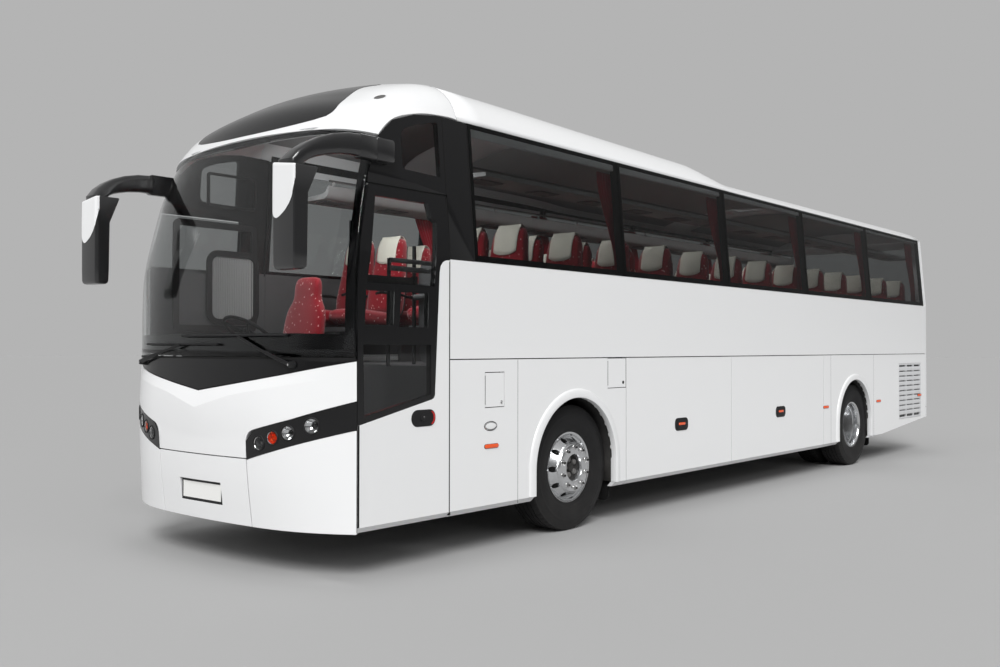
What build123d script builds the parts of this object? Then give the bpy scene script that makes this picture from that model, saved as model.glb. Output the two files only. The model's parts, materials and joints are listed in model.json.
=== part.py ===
from build123d import *
import os
from math import asin, atan2, cos, hypot, pi, radians, sin

# A twin-axle touring coach with its passenger door on the left of the body.
# Millimetres, +X forward, +Y to the coach's left, +Z up, wheels standing on Z = 0.
# Every x below is measured forward from the front axle. The last step moves all
# pieces by front_axle_x, so that the origin lies under the middle of the coach.

# ---------------------------------------------------------------- main sizes
front_axle_x = 3030
wheelbase = 6180
half_width = 1275            # flat sides
belt_z = 2137                # bottom of the window band
crease_z = 1427              # hinge line of the luggage flaps
skirt_z = 310                # bottom of the skirt
skirt_chamfer = 40
cant_z = 3140                # foot of the roof
cant_y = 1190
tumblehome = (half_width - cant_y) / (cant_z - belt_z)
rear_corner_x = -8900
rear_centre_x = -9010
wall_rear_x = -8856          # where the side walls meet the rear panel
tail_z = 490                 # bottom of the body behind the rear wheels
gap = 8                      # joint between body panels
wall = 42                    # thickness of the side walls
glass = 10                   # thickness of the glazing
skin_inset = 12              # how far the wall stands back behind the glazing

# ------------------------------------------------------ panel joints along x
door_rear_x = 1550
door_front_x = 2428
step_joint_x = 790
flap_front_x = -720
flap_middle_x = -2690
flap_rear_x = -5055
tail_joint_x = -6730
pane_joints_x = [1290, -696, -2652, -4603, -6645, -8800]

# ------------------------------------------------------------------- wheels
tyre_r = 522
wheel_sides = 28
tyre_w = 290
rim_seat_r = 286
front_tyre_y = 1207 - tyre_w / 2
rear_outer_y = 1214 - tyre_w / 2
rear_inner_y = rear_outer_y - 335
kingpin_y = 1020
arch_sides = 32

# ------------------------------------------------------------------- saloon
floor_z = 1380
floor_t = 50
seat_pitch = 748
seat_back_top_z = 2500
aisle_half = 250


# ------------------------------------------------------------ shape helpers
def block(x0, x1, y0, y1, z0, z1):
    """A box between two corners."""
    middle = Pos((x0 + x1) / 2, (y0 + y1) / 2, (z0 + z1) / 2)
    return middle * Box(abs(x1 - x0), abs(y1 - y0), abs(z1 - z0))


def prism(points, sweep):
    """A flat outline of 3-D points, swept along a vector."""
    return Solid.extrude(Face(Wire.make_polygon(points, close=True)), Vector(*sweep))


def across(outline, y0, y1):
    """An outline in x and z, swept from y0 to y1."""
    return prism([(x, y0, z) for x, z in outline], (0, y1 - y0, 0))


def along(outline, x0, x1):
    """An outline in y and z, swept from x0 to x1."""
    return prism([(x0, y, z) for y, z in outline], (x1 - x0, 0, 0))


def upward(outline, z0, z1):
    """An outline in x and y, swept from z0 to z1."""
    return prism([(x, y, z0) for x, y in outline], (0, 0, z1 - z0))


def ring_points(r, sides):
    """Corners of a regular outline whose flats, one of them at the bottom, lie at radius r."""
    corner_r = r / cos(pi / sides)
    turns = [2 * pi * (k + 0.5) / sides for k in range(sides)]
    return [(corner_r * sin(turn), corner_r * cos(turn)) for turn in turns]


def round_y(x, z, r, y0, y1, sides=12):
    """A round bar that lies across the coach."""
    return across([(x + a, z + b) for a, b in ring_points(r, sides)], y0, y1)


def round_x(y, z, r, x0, x1, sides=12):
    """A round bar that lies along the coach."""
    return along([(y + a, z + b) for a, b in ring_points(r, sides)], x0, x1)


def round_z(x, y, r, z0, z1, sides=12):
    """An upright round bar."""
    return upward([(x + a, y + b) for a, b in ring_points(r, sides)], z0, z1)


def pin(x, y, z, r, length, way):
    """A round pin that starts at a point and runs along way."""
    return Solid.make_cylinder(r, length, Plane((x, y, z), z_dir=way))


def other_side(shape):
    return mirror(shape, Plane.XZ)


def both_sides(shape):
    return [shape, other_side(shape)]


def solids_of(*shapes):
    """All the solids in shapes, lists and compounds."""
    found = []
    for shape in shapes:
        if isinstance(shape, (list, tuple)):
            found += solids_of(*shape)
        else:
            found += list(shape.solids())
    return found


def turned(profile, x, z, sides):
    """A closed outline of (y, radius) points turned about an axle into flat-sided rings."""
    rings = []
    for y, r in profile:
        rings.append([(x + a, y, z + b) for a, b in ring_points(r, sides)])
    faces = []
    for ring, following in zip(rings, rings[1:] + rings[:1]):
        for k in range(sides):
            n = (k + 1) % sides
            corners = [ring[k], ring[n], following[n], following[k]]
            faces.append(Face(Wire.make_polygon(corners, close=True)))
    return Solid(Shell(faces))


# ------------------------------------------------------------- body surfaces
def side_y(z):
    """Half width of the body at height z."""
    if z < skirt_z + skirt_chamfer:
        return half_width - (skirt_z + skirt_chamfer - z)
    if z <= belt_z:
        return half_width
    return half_width - (z - belt_z) * tumblehome


def wall_slab(x0, x1, z0, z1, inset, thick):
    """A stretch of the left side wall, standing back by inset."""
    breaks = [skirt_z + skirt_chamfer, belt_z]
    heights = [z0] + [z for z in breaks if z0 < z < z1] + [z1]
    outer = [(side_y(z) - inset, z) for z in heights]
    inner = [(side_y(z) - inset - thick, z) for z in reversed(heights)]
    return along(outer + inner, x0, x1)


def side_panel(outline, inset, thick):
    """A panel of the left side wall, cut to an outline in x and z."""
    xs = [x for x, z in outline]
    zs = [z for x, z in outline]
    slab = wall_slab(min(xs) - 1, max(xs) + 1, min(zs), max(zs), inset, thick)
    return slab & across(outline, 900, 1400)


def bow(foot, shoulder, top, crown_steps, shoulder_steps):
    """Points of a half bow from the middle to the foot, as (across, height).

    The crown arc runs through both shoulders and the top. The shoulder arc leaves
    it on its tangent and ends at the foot.
    """
    rise = top - shoulder[1]
    crown_r = (shoulder[0] ** 2 + rise ** 2) / (2 * rise)
    sweep_angle = asin(shoulder[0] / crown_r)
    points = []
    for k in range(crown_steps):
        angle = sweep_angle * k / crown_steps
        points.append((crown_r * sin(angle), top - crown_r + crown_r * cos(angle)))
    inward = (-sin(sweep_angle), -cos(sweep_angle))
    reach = (foot[0] - shoulder[0], foot[1] - shoulder[1])
    corner_r = (reach[0] ** 2 + reach[1] ** 2) / (2 * (inward[0] * reach[0] + inward[1] * reach[1]))
    centre = (shoulder[0] + inward[0] * corner_r, shoulder[1] + inward[1] * corner_r)
    end_angle = atan2(foot[0] - centre[0], foot[1] - centre[1])
    for k in range(shoulder_steps + 1):
        angle = sweep_angle + (end_angle - sweep_angle) * k / shoulder_steps
        points.append((centre[0] + corner_r * sin(angle), centre[1] + corner_r * cos(angle)))
    return points


crown_steps = 3
shoulder_steps = 4


def bow_band(place, foot, shoulder, top, thick):
    """A closed bow-shaped band. place turns (across, height) into a 3-D point."""
    inner_foot = (foot[0] - thick, foot[1])
    inner_shoulder = (shoulder[0] - thick * 0.3, shoulder[1] - thick)
    outline = []
    for low, corner, crest in ((foot, shoulder, top), (inner_foot, inner_shoulder, top - thick)):
        half = bow(low, corner, crest, crown_steps, shoulder_steps)
        whole = [(-across_, height) for across_, height in reversed(half[1:])] + half
        outline.append([place(*point) for point in whole])
    return Wire.make_polygon(outline[0] + outline[1][::-1], close=True)


# ---- roof: upright bands at a few stations, from the tail to the dome joint
# columns: x, foot height, shoulder (y, z), top z
roof_stations = [
    (-8880, 3125, 900, 3270, 3365),
    (-3020, 3151, 900, 3290, 3390),
    (-2380, 3153, 850, 3415, 3535),
    (700, 3167, 850, 3478, 3600),
    (1386, 3170, 850, 3480, 3560),
]


def roof_foot_z(x):
    """Height of the roof's foot along the coach."""
    return 3125 + (x + 8880) * 45 / 10266


def roof_band(x, foot_z, shoulder_y, shoulder_z, top_z, thick):
    place = lambda y, z: (x, y, z)
    return bow_band(place, (side_y(foot_z), foot_z), (shoulder_y, shoulder_z), top_z, thick)


def make_roof():
    pieces = []
    for low, high in zip(roof_stations, roof_stations[1:]):
        pieces.append(Solid.make_loft([roof_band(*low, 45), roof_band(*high, 45)], True))
    roof = pieces[0]
    for piece in pieces[1:]:
        roof = roof + piece
    return roof


# ---- dome: bands that fan out about a cross axis, from the roof joint to the screen
dome_axis_x = 1390
dome_axis_z = 2600
# columns: angle, foot (y, radius), shoulder (y, radius), top radius
dome_stations = [
    (90.0, 1187, 570, 850, 880, 960),
    (70.0, 1187, 607, 850, 872, 945),
    (50.0, 1190, 700, 850, 908, 990),
    (35.0, 1196, 806, 850, 980, 1060),
    (22.2, 1208, 868, 850, 1015, 1084),
]


def dome_band(angle, foot_y, foot_r, shoulder_y, shoulder_r, top_r, thick):
    run, rise = cos(radians(angle)), sin(radians(angle))
    place = lambda y, r: (dome_axis_x + r * run, y, dome_axis_z + r * rise)
    return bow_band(place, (foot_y, foot_r), (shoulder_y, shoulder_r), top_r, thick)


def make_dome():
    return Solid.make_loft([dome_band(*station, 40) for station in dome_stations], True)


# ---- nose: level bands at a few heights, below and above the screen's foot
bow_shoulder_y = 620
shoulder_drop = 0.115        # share of the corner's reach that the shoulder stands back
# columns: z, centre x, corner x, corner y
nose_stations = [
    (310, 2708, 2428, 1275),
    (683, 2756, 2428, 1275),
    (1057, 2772, 2428, 1275),
    (1430, 2733, 2430, 1275),
]
screen_stations = [
    (1438, 2732, 2433, 1275),
    (1764, 2694, 2441, 1275),
    (2090, 2642, 2424, 1275),
    (2417, 2568, 2361, 1251.3),
    (2743, 2478, 2274, 1223.6),
    (3070, 2362, 2112, 1196),
]


def nose_band(z, centre_x, corner_x, corner_y, thick):
    reach = centre_x - corner_x
    shoulder_x = centre_x - reach * shoulder_drop
    place = lambda y, x: (x, y, z)
    return bow_band(place, (corner_y, corner_x), (bow_shoulder_y, shoulder_x), centre_x, thick)


def bow_x(y, z):
    """How far forward the skin of the nose or the screen lies at a point."""
    stations = nose_stations if z < nose_stations[-1][0] else screen_stations
    for low, high in zip(stations, stations[1:]):
        if z <= high[0]:
            break
    share = (z - low[0]) / (high[0] - low[0])
    centre_x, corner_x, corner_y = [a + (b - a) * share for a, b in zip(low[1:], high[1:])]
    shoulder_x = centre_x - (centre_x - corner_x) * shoulder_drop
    half = bow((corner_y, corner_x), (bow_shoulder_y, shoulder_x), centre_x, 12, 12)
    for near, far in zip(half, half[1:]):
        if y <= far[0]:
            break
    return near[1] + (far[1] - near[1]) * (y - near[0]) / (far[0] - near[0])


def make_nose():
    return Solid.make_loft([nose_band(*station, 40) for station in nose_stations])


def make_screen():
    return Solid.make_loft([nose_band(*station, 12) for station in screen_stations])


# --------------------------------------------------------- nose, screen, dome
v_apex_z = 1213              # lowest point of the black panel's edge
lamp_band_y = 525            # inner end of the lamp bands, and the bumper joints
bumper_top_z = 774
# lamp band outline as (y, z), from the bumper joint outwards
lamp_band = [(525, 774), (525, 925), (800, 1020), (1290, 1165), (1290, 985), (810, 862)]


# lamp units of one side: y, z, radius
lamp_units = [(648, 880, 44), (761, 920, 44), (878, 955, 46), (1033, 1005, 50)]
lamp_depth = 45


def front_cut(outline):
    """An outline in y and z, swept through the nose."""
    return along(outline, 2300, 2900)


def make_nose_panels():
    nose = make_nose()
    v_shape = [(-1300, 1427), (0, v_apex_z), (1300, 1427), (1300, 1440), (-1300, 1440)]
    black = front_cut(v_shape)
    split = [(-1300, 1427 - gap), (0, v_apex_z - gap), (1300, 1427 - gap), (1300, 1440), (-1300, 1440)]
    lower = nose - front_cut(split)
    bands = []
    hollow = []
    for side in (1, -1):
        bands.append(front_cut([(side * y, z) for y, z in lamp_band]))
        hollow.append(front_cut([(side * y, z) for y, z in
                                 [(lamp_band_y, bumper_top_z - 4)] + lamp_band[1:]]))
    band_panels = [nose & band for band in bands]
    lamps = []
    for side in (1, -1):
        for y, z, r in lamp_units:
            face_x = bow_x(y, z)
            band = 0 if side == 1 else 1
            seat = round_x(side * y, z, r + 2, face_x - 200, face_x + 200)
            band_panels[band] = band_panels[band] - seat
            lamps.append(round_x(side * y, z, r, face_x - lamp_depth, face_x + 6))
    for piece in hollow:
        lower = lower - piece
    flap_edge = lamp_band_y - gap / 2
    flap_zone = [(-flap_edge, 300), (flap_edge, 300), (flap_edge, bumper_top_z - gap / 2),
                 (-flap_edge, bumper_top_z - gap / 2)]
    flap = lower & front_cut(flap_zone)
    corner_top = [(lamp_band_y + gap / 2, 300), (1300, 300), (1300, 985 - gap), (810, 862 - gap),
                  (lamp_band_y + gap / 2, bumper_top_z - gap)]
    corners = []
    for side in (1, -1):
        corners.append(lower & front_cut([(side * y, z) for y, z in corner_top]))
    mask_zone = [(-lamp_band_y, bumper_top_z + gap / 2), (lamp_band_y, bumper_top_z + gap / 2),
                 (lamp_band_y, 900), (1300, 1165), (1300, 1440), (-1300, 1440), (-1300, 1165),
                 (-lamp_band_y, 900)]
    mask = lower & front_cut(mask_zone)
    return nose & black, mask, flap, corners, band_panels, lamps


def dome_cut(angle):
    """Everything below the fan plane at an angle."""
    run, rise = cos(radians(angle)), sin(radians(angle))
    far = 1600
    points = [(dome_axis_x, dome_axis_z), (dome_axis_x + far * run, dome_axis_z + far * rise),
              (dome_axis_x + far, 1400), (dome_axis_x, 1400)]
    return across(points, -1400, 1400)


# the black cap of the dome, as (x, y) of its left half
cap_outline = [(2345, 0), (2290, 400), (2120, 760), (1960, 900), (1640, 905), (1560, 700), (1500, 0)]


def make_dome_and_cap():
    dome = make_dome()
    left = cap_outline
    right = [(x, -y) for x, y in reversed(cap_outline[1:-1])]
    outline = left + right
    cutter = upward(outline, 3000, 3700)
    wide = offset(Face(Wire.make_polygon([(x, y, 3000) for x, y in outline], close=True)), 4)
    room = Solid.extrude(wide.faces()[0], Vector(0, 0, 700))
    return dome - room, dome & cutter


# ------------------------------------------------------------------ side walls
def pane_outlines():
    """Window panes of one side as (x0, x1), front to back."""
    pairs = zip(pane_joints_x, pane_joints_x[1:])
    return [(rear + 4, front - 4) for front, rear in pairs]


frame_border = 45


def arch_cut(x, z, r):
    opening = round_y(x, z, r, 1000, 1400, arch_sides)
    return opening + block(x - r, x + r, 1000, 1400, 0, z)


front_arch = (18, 543, 562)
rear_arch = (-6065, 565, 545)


def window_band(rear, front, low, drop, inset, thick):
    """A strip of wall or glass from low up to just under the roof's foot."""
    outline = [(rear, low), (front, low), (front, roof_foot_z(front) - drop),
               (rear, roof_foot_z(rear) - drop)]
    return side_panel(outline, inset, thick)


def make_side_wall(front_x):
    """Belt panel below the windows and the frame round them, on the left."""
    belt = wall_slab(wall_rear_x, front_x, crease_z + gap / 2, belt_z, 0, wall)
    frame = window_band(wall_rear_x, pane_joints_x[0], belt_z, 6, skin_inset, wall - skin_inset)
    for rear, front in pane_outlines():
        rear_edge, front_edge = rear + frame_border, front - frame_border
        frame = frame - block(rear_edge, front_edge, 1000, 1400, belt_z + frame_border, 3070)
    return belt + frame


def make_panes():
    return [window_band(rear, front, belt_z + 3, 6, 0, glass) for rear, front in pane_outlines()]


def arch_lip(x, z, r):
    ring = round_y(x, z, r + 60, half_width - 20, half_width + 10, arch_sides)
    ring = ring - round_y(x, z, r, half_width - 60, half_width + 60, arch_sides)
    return ring - block(x - 900, x + 900, 1000, 1400, -400, z)


fuel_flap = (955, 1168, 1072, 1325)
service_flap = (-712, -437, 1168, crease_z - gap)
grille_zone = (-8659, -7708, 508, 1295)


def hole(x0, x1, z0, z1, margin):
    return block(x0 - margin, x1 + margin, 1000, 1400, z0 - margin, z1 + margin)


def make_skirt(front_x):
    """Fixed panels below the crease on the left: front wheel and tail."""
    top = crease_z - gap / 2
    front = wall_slab(flap_front_x + gap / 2, front_x, skirt_z, top, 0, wall)
    front = front - arch_cut(*front_arch)
    front = front + arch_lip(*front_arch)
    tail_outline = [
        (flap_rear_x - gap / 2, skirt_z), (flap_rear_x - gap / 2, top), (wall_rear_x, top),
        (wall_rear_x, tail_z), (tail_joint_x, skirt_z + 16),
    ]
    tail = side_panel(tail_outline, 0, wall) - arch_cut(*rear_arch)
    tail = tail + arch_lip(*rear_arch)
    tail = tail - hole(*grille_zone, 0)
    return front, tail


def make_flap(rear_x, front_x):
    return wall_slab(rear_x + gap / 2, front_x - gap / 2, skirt_z, crease_z - gap / 2, 0, wall)


def quarter_outline():
    """The black corner panel between screen, dome and first window, as (x, z)."""
    under_dome = []
    for angle, foot_y, foot_r, *rest in reversed(dome_stations):
        r = foot_r - gap
        under_dome.append((dome_axis_x + r * cos(radians(angle)), dome_axis_z + r * sin(radians(angle))))
    rear_x = pane_joints_x[0] + 4
    return [(rear_x, 2600), (2300, 2600), (2278, 2700)] + under_dome + [(rear_x, 3160)]


driver_window_outline = [
    (1553, belt_z + 3), (2400, belt_z + 3), (2380, 2250), (2335, 2400), (2294, 2592), (1553, 2592),
]


def make_grille():
    """Louvres of the engine bay's side grille, on the left."""
    rear, front, low, high = grille_zone
    frame = block(rear + 2, front - 2, half_width - 30, half_width - 4, low + 2, high - 2)
    pitch = (high - low) / 11
    slots = []
    for k in range(11):
        z = low + pitch * (k + 0.5)
        slots.append(block(rear + 30, front - 30, 1200, 1300, z - 14, z + 14))
    for slot in slots:
        frame = frame - slot
    return frame


def make_quarter():
    pillar = [(1294, belt_z + 3), (1294, 2602), (1545, 2602), (1545, belt_z + 3)]
    return side_panel(quarter_outline(), 0, wall) + side_panel(pillar, 0, wall)


# ----------------------------------------------------------------- tail
def tail_band(z, thick):
    """Level band of the rear panel."""
    corner_y = side_y(max(z, skirt_z + skirt_chamfer))
    outer = [(rear_corner_x - 4, corner_y, z), (rear_centre_x, 0, z), (rear_corner_x - 4, -corner_y, z)]
    inner = [(rear_corner_x - 4 + thick, corner_y, z), (rear_centre_x + thick, 0, z),
             (rear_corner_x - 4 + thick, -corner_y, z)]
    edges = [Edge.make_three_point_arc(*outer), Edge.make_three_point_arc(*inner)]
    edges += [Edge.make_line(outer[0], inner[0]), Edge.make_line(outer[2], inner[2])]
    return Wire(edges)


rear_window = (1060, 2190, 3010)
engine_lid = (820, 640, 1560)
tail_lamp = (930, 1170, 700, 1500)


def rear_hole(half, z0, z1, margin):
    return block(-9200, -8700, -half - margin, half + margin, z0 - margin, z1 + margin)


def make_tail():
    lower = Solid.make_loft([tail_band(tail_z, 40), tail_band(belt_z, 40)], True)
    upper = Solid.make_loft([tail_band(belt_z, 40), tail_band(3115, 40)], True)
    shell = lower + upper
    bumper_z = 640 - gap
    window = shell & rear_hole(*rear_window, 0)
    lid = shell & rear_hole(*engine_lid, 0)
    bumper = shell & block(-9200, -8700, -1300, 1300, 400, bumper_z)
    lamp_zone = block(-9200, -8700, tail_lamp[0], tail_lamp[1], tail_lamp[2], tail_lamp[3])
    lamps = [shell & zone for zone in both_sides(lamp_zone)]
    panel = shell - rear_hole(*rear_window, 3) - rear_hole(*engine_lid, gap)
    panel = panel - block(-9200, -8700, -1300, 1300, 400, 640 + gap / 2)
    for zone in both_sides(block(-9200, -8700, tail_lamp[0] - 3, tail_lamp[1] + 3,
                                 tail_lamp[2] - 3, tail_lamp[3] + 3)):
        panel = panel - zone
    return panel, window, lid, bumper, lamps


# side view of the cap between the rear panel and the roof's end, as (x, z)
tail_cap_outline = [(-8884, 3119), (-9010, 3119), (-9000, 3200), (-8968, 3290), (-8915, 3350),
                    (-8884, 3366)]


def make_tail_cap():
    """Rounded panel that closes the roof's rear end: one shape seen from three sides."""
    front_x, low_z = tail_cap_outline[0]
    foot_z, shoulder_y, shoulder_z, top_z = roof_stations[0][1:]
    half = bow((side_y(foot_z), foot_z), (shoulder_y, shoulder_z), top_z, crown_steps, shoulder_steps)
    low_y = side_y(low_z)
    rear_view = [(-y, z) for y, z in reversed(half[1:])] + half + [(low_y, low_z), (-low_y, low_z)]
    bulge = rear_corner_x - 4 - rear_centre_x
    arc = [(rear_centre_x + bulge * (k / 4) ** 2, low_y * k / 4) for k in range(-4, 5)]
    plan = upward([(front_x + 5, -low_y)] + arc + [(front_x + 5, low_y)], low_z - 5, 3400)
    return along(rear_view, rear_centre_x - 10, front_x) & across(tail_cap_outline, -1300, 1300) & plan


# ----------------------------------------------------------------- wheels
def make_tyre(x, y):
    half = tyre_w / 2
    profile = [
        (y - half + 36, rim_seat_r), (y - half + 6, 335), (y - half, 410), (y - half + 22, 495),
        (y - half + 58, tyre_r), (y + half - 58, tyre_r), (y + half - 22, 495), (y + half, 410),
        (y + half - 6, 335), (y + half - 36, rim_seat_r),
    ]
    return turned(profile, x, tyre_r, wheel_sides)


hand_holes = 10
hand_hole_ring_r = 222
hand_hole_r = 24
hub_r = 82
rim_half = tyre_w / 2 - 38


def pierced(rim, x, y0, y1):
    """A rim with its ring of hand holes cut through the disc."""
    for k in range(hand_holes):
        angle = 2 * pi * k / hand_holes
        hole_x = x + hand_hole_ring_r * sin(angle)
        hole_z = tyre_r + hand_hole_ring_r * cos(angle)
        rim = rim - round_y(hole_x, hole_z, hand_hole_r, y0, y1, 6)
    return rim


def make_front_rim(y, disc_y):
    """Barrel and shallow dished disc in one, with the hub. disc_y is the disc's outer face."""
    inner, outer = y - rim_half, y + rim_half
    profile = [
        (inner - 8, 300), (inner + 4, rim_seat_r), (outer - 4, rim_seat_r), (outer + 8, 300),
        (outer + 8, 272), (outer - 22, 266), (disc_y - 40, 250), (disc_y, 190), (disc_y, 70),
        (disc_y - 16, 70), (disc_y - 16, 185), (disc_y - 60, 238), (disc_y - 80, 266),
        (inner - 8, 272),
    ]
    rim = pierced(turned(profile, 0, tyre_r, wheel_sides), 0, disc_y - 120, disc_y + 40)
    return rim + pin(0, disc_y - 30, tyre_r, hub_r, 62, (0, 1, 0))


def make_rear_rims(x):
    """The twin rims of one side, bolted disc to disc, with the hub standing out of the dish."""
    middle = (rear_outer_y + rear_inner_y) / 2
    outer, inner = rear_outer_y + rim_half, rear_inner_y - rim_half
    outer_seat, inner_seat = rear_outer_y - rim_half, rear_inner_y + rim_half
    profile = [
        (inner - 8, 300), (inner + 4, rim_seat_r), (inner_seat, rim_seat_r), (inner_seat, 268),
        (middle - 14, 200), (middle + 14, 200), (outer_seat, 268), (outer_seat, rim_seat_r),
        (outer - 4, rim_seat_r), (outer + 8, 300), (outer + 8, 272), (middle + 60, 262),
        (middle + 30, 200), (middle + 18, 70), (middle - 18, 70), (middle - 30, 200),
        (middle - 60, 262), (inner - 8, 272),
    ]
    rim = turned(profile, x, tyre_r, wheel_sides)
    rim = rim + round_y(x, tyre_r, hub_r + 28, middle - 20, middle + 40)
    return rim + pin(x, middle + 30, tyre_r, hub_r, 190, (0, 1, 0))


# ----------------------------------------------------------------- running gear
def make_knuckle():
    """Stub axle and kingpin boss on the left."""
    kingpin = pin(0, kingpin_y, tyre_r - 120, 38, 240, (0, 0, 1))
    stub = pin(0, kingpin_y, tyre_r, 55, front_tyre_y + 79 - kingpin_y, (0, 1, 0))
    drum = turned([(kingpin_y + 45, 50), (kingpin_y + 45, 200), (kingpin_y - 25, 200),
                   (kingpin_y - 25, 185), (kingpin_y + 30, 185), (kingpin_y + 30, 50)],
                  0, tyre_r, 20)
    return kingpin + stub + drum


def make_front_axle():
    beam = along([(-700, 330), (700, 330), (760, 400), (760, 470), (700, 430), (-700, 430),
                  (-760, 470), (-760, 400)], -60, 60)
    ends = [block(-35, 35, side * 740, side * 965, 400, 470) for side in (1, -1)]
    springs = [round_z(0, side * 480, 90, 428, 716) for side in (1, -1)]
    axle = beam
    for piece in ends + springs:
        axle = axle + piece
    return axle


def make_rear_axle():
    x = -wheelbase
    reach = (rear_outer_y + rear_inner_y) / 2 - 22
    tube = round_y(x, tyre_r, 75, -reach, reach)
    axle = tube
    for radius, half in ((200, 60), (160, 120), (110, 190)):
        axle = axle + round_y(x, tyre_r, radius, -half, half)
    for side in (1, -1):
        axle = axle + round_z(x - 300, side * 420, 110, 430, 716)
        axle = axle + round_z(x + 300, side * 420, 110, 430, 716)
        axle = axle + block(x - 380, x + 380, side * 380, side * 460, 380, 440)
        axle = axle + block(x - 60, x + 60, side * 380, side * 460, 430, 520)
    return axle


# ----------------------------------------------------------------- structure
stair_y = 600                # inner side of the stepwell
step_tops = [(600, 760), (760, 1070)]


joint_gap = 1                # between solids of one node that carry each other


def make_floor():
    """Saloon deck, driver's platform and stepwell, as boards that stand side by side."""
    under = floor_z - floor_t
    inner = half_width - wall
    g = joint_gap
    return [
        block(rear_corner_x + 45, 1205, -inner, inner, under, floor_z),
        block(1206, 1520, 541, inner - 20, under, floor_z),
        block(1206, 1246, -inner, 540, 931, floor_z),
        block(1247, 2150, -inner, 540, 880, 930),
        block(2151, 2360, -1150, 540, 880, 930),
        block(1521, 1560, 600, inner - 20, 380, floor_z),
        block(1561, 2360, 600, inner - 25, 380, 420),
        block(1561, 2360, 560, 599, 380, 930),
        block(1561, 1830, 600, inner - 25, 420 + g, 700),
    ]


tow_socket = (2560, 280, 610)    # mouth of the socket that takes a towing pin
tow_socket_r = 22
tow_socket_length = 80


def make_tow_bracket():
    """A hanger below the front cross member with the towing socket at its nose."""
    x, y, z = tow_socket
    hanger = block(2291, 2331, y - 50, y + 50, z - 50, 860)
    nose = block(2331, x, y - 50, y + 50, z - 50, z + 50)
    return hanger + nose - pin(x - tow_socket_length, y, z, tow_socket_r, 200, (1, 0, 0))


def make_underframe():
    """Rails and cross members at both ends, and the luggage floor with its bulkheads."""
    low, high = 720, 860
    pieces = [make_tow_bracket()]
    for side in (1, -1):
        y0, y1 = side * 350, side * 410
        pieces.append(block(flap_front_x + 60, 2300, y0, y1, low, high))
        pieces.append(block(-8700, flap_rear_x - 50, y0, y1, low, high))
    for x in (1250, 660, -7000, -8650):
        pieces.append(block(x - 30, x + 30, -349, 349, low, high))
        for side in (1, -1):
            pieces.append(block(x - 30, x + 30, side * 411, side * (half_width - wall), low, high))
    pieces.append(block(2230, 2290, -349, 349, low, high))
    bay_rear, bay_front = flap_rear_x - 40, flap_front_x + 50
    inner = half_width - wall - 30
    pieces.append(block(bay_rear, bay_front, -inner, inner, 400, 430))
    for x in (bay_front - 18, flap_middle_x, bay_rear + 18):
        pieces.append(block(x - 18, x + 18, -inner, inner, 431, floor_z - floor_t - 1))
    return pieces


# ----------------------------------------------------------------- interior
def seat_pair(x, y0, y1):
    """Cushions and backs of a double seat as two solids. x is the front of the backs."""
    cushion = across([(x + 30, floor_z), (x + 30, floor_z + 440), (x + 430, floor_z + 470),
                      (x + 465, floor_z + 370), (x + 120, floor_z + 320), (x + 100, floor_z)], y0, y1)
    back = across([(x + 15, floor_z + 430), (x - 120, seat_back_top_z), (x - 195, seat_back_top_z - 20),
                   (x - 120, floor_z + 430), (x - 60, floor_z + 380)], y0, y1)
    return [cushion, back]


first_seat_x = 577
seat_rows = 13


def seat_backs_x():
    return [first_seat_x - row * seat_pitch for row in range(seat_rows)]


def make_seats():
    seats = []
    for x in seat_backs_x():
        for side in (1, -1):
            seats += seat_pair(x, side * 270, side * 1120)
    return seats


def make_covers():
    covers = []
    for x in seat_backs_x():
        for y in (480, 910, -480, -910):
            covers.append(across([(x - 65, seat_back_top_z - 250), (x - 107, seat_back_top_z - 30),
                                  (x - 98, seat_back_top_z - 28), (x - 56, seat_back_top_z - 248)],
                                 y - 120, y + 120))
    return covers


def make_driver_seat():
    x, y = 1390, -560
    base = block(x - 60, x + 280, y - 180, y + 180, 930, 1230)
    cushion = across([(x - 80, 1230), (x - 80, 1350), (x + 360, 1370), (x + 400, 1300),
                      (x + 360, 1230)], y - 250, y + 250)
    back = across([(x - 20, 1345), (x - 120, 2080), (x - 160, 2110), (x - 220, 2070),
                   (x - 130, 1345)], y - 250, y + 250)
    return base + cushion + back


def make_dashboard():
    main = upward([(2360, -1120), (2540, -700), (2600, 0), (2560, 540), (2250, 540),
                   (2150, 0), (2060, -250), (2060, -1120)], 1330, 1400)
    front = upward([(2360, -1120), (2540, -700), (2600, 0), (2560, 540), (2500, 540),
                    (2500, -400), (2300, -1120)], 930, 1340)
    binnacle = across([(2060, 1400), (2020, 1480), (2160, 1560), (2350, 1400)], -860, -360)
    return main + front + binnacle


wheel_hub = (1930, -560, 1625)
column_tilt = 35


def tilted(shape):
    return Pos(*wheel_hub) * Rot(0, -column_tilt, 0) * shape


def make_steering_wheel():
    grip = [(0, 198), (-14, 215), (0, 232), (14, 215)]
    rim = Rot(90, 0, 0) * turned(grip, 0, 0, 20)
    spokes = Box(408, 36, 14) + Box(36, 408, 14)
    hub = round_z(0, 0, 55, -20, 20)
    shaft = pin(0, 0, -110, 22, 100, (0, 0, 1))
    return tilted(rim + spokes + hub + shaft)


def make_racks():
    rack = along([(1120, 2820), (1120, 2850), (760, 2870), (720, 2940), (700, 2940), (735, 2840),
                  (760, 2820)], -8700, 1000)
    return both_sides(rack)


def make_curtains():
    curtains = []
    for joint in pane_joints_x[1:-1] + [-8600]:
        curtain = across([(joint - 60, 3050), (joint + 240, 3050), (joint - 50, 2200),
                          (joint - 230, 2200)], 1128, 1146)
        curtains += both_sides(curtain)
    return curtains


def make_rails():
    screen = block(1180, 1200, 600, 1150, floor_z, 2200)
    rail = round_z(1230, 590, 16, floor_z, 2300)
    return [screen + rail + block(1190, 1240, 585, 605, 1900, 1930)]


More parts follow.
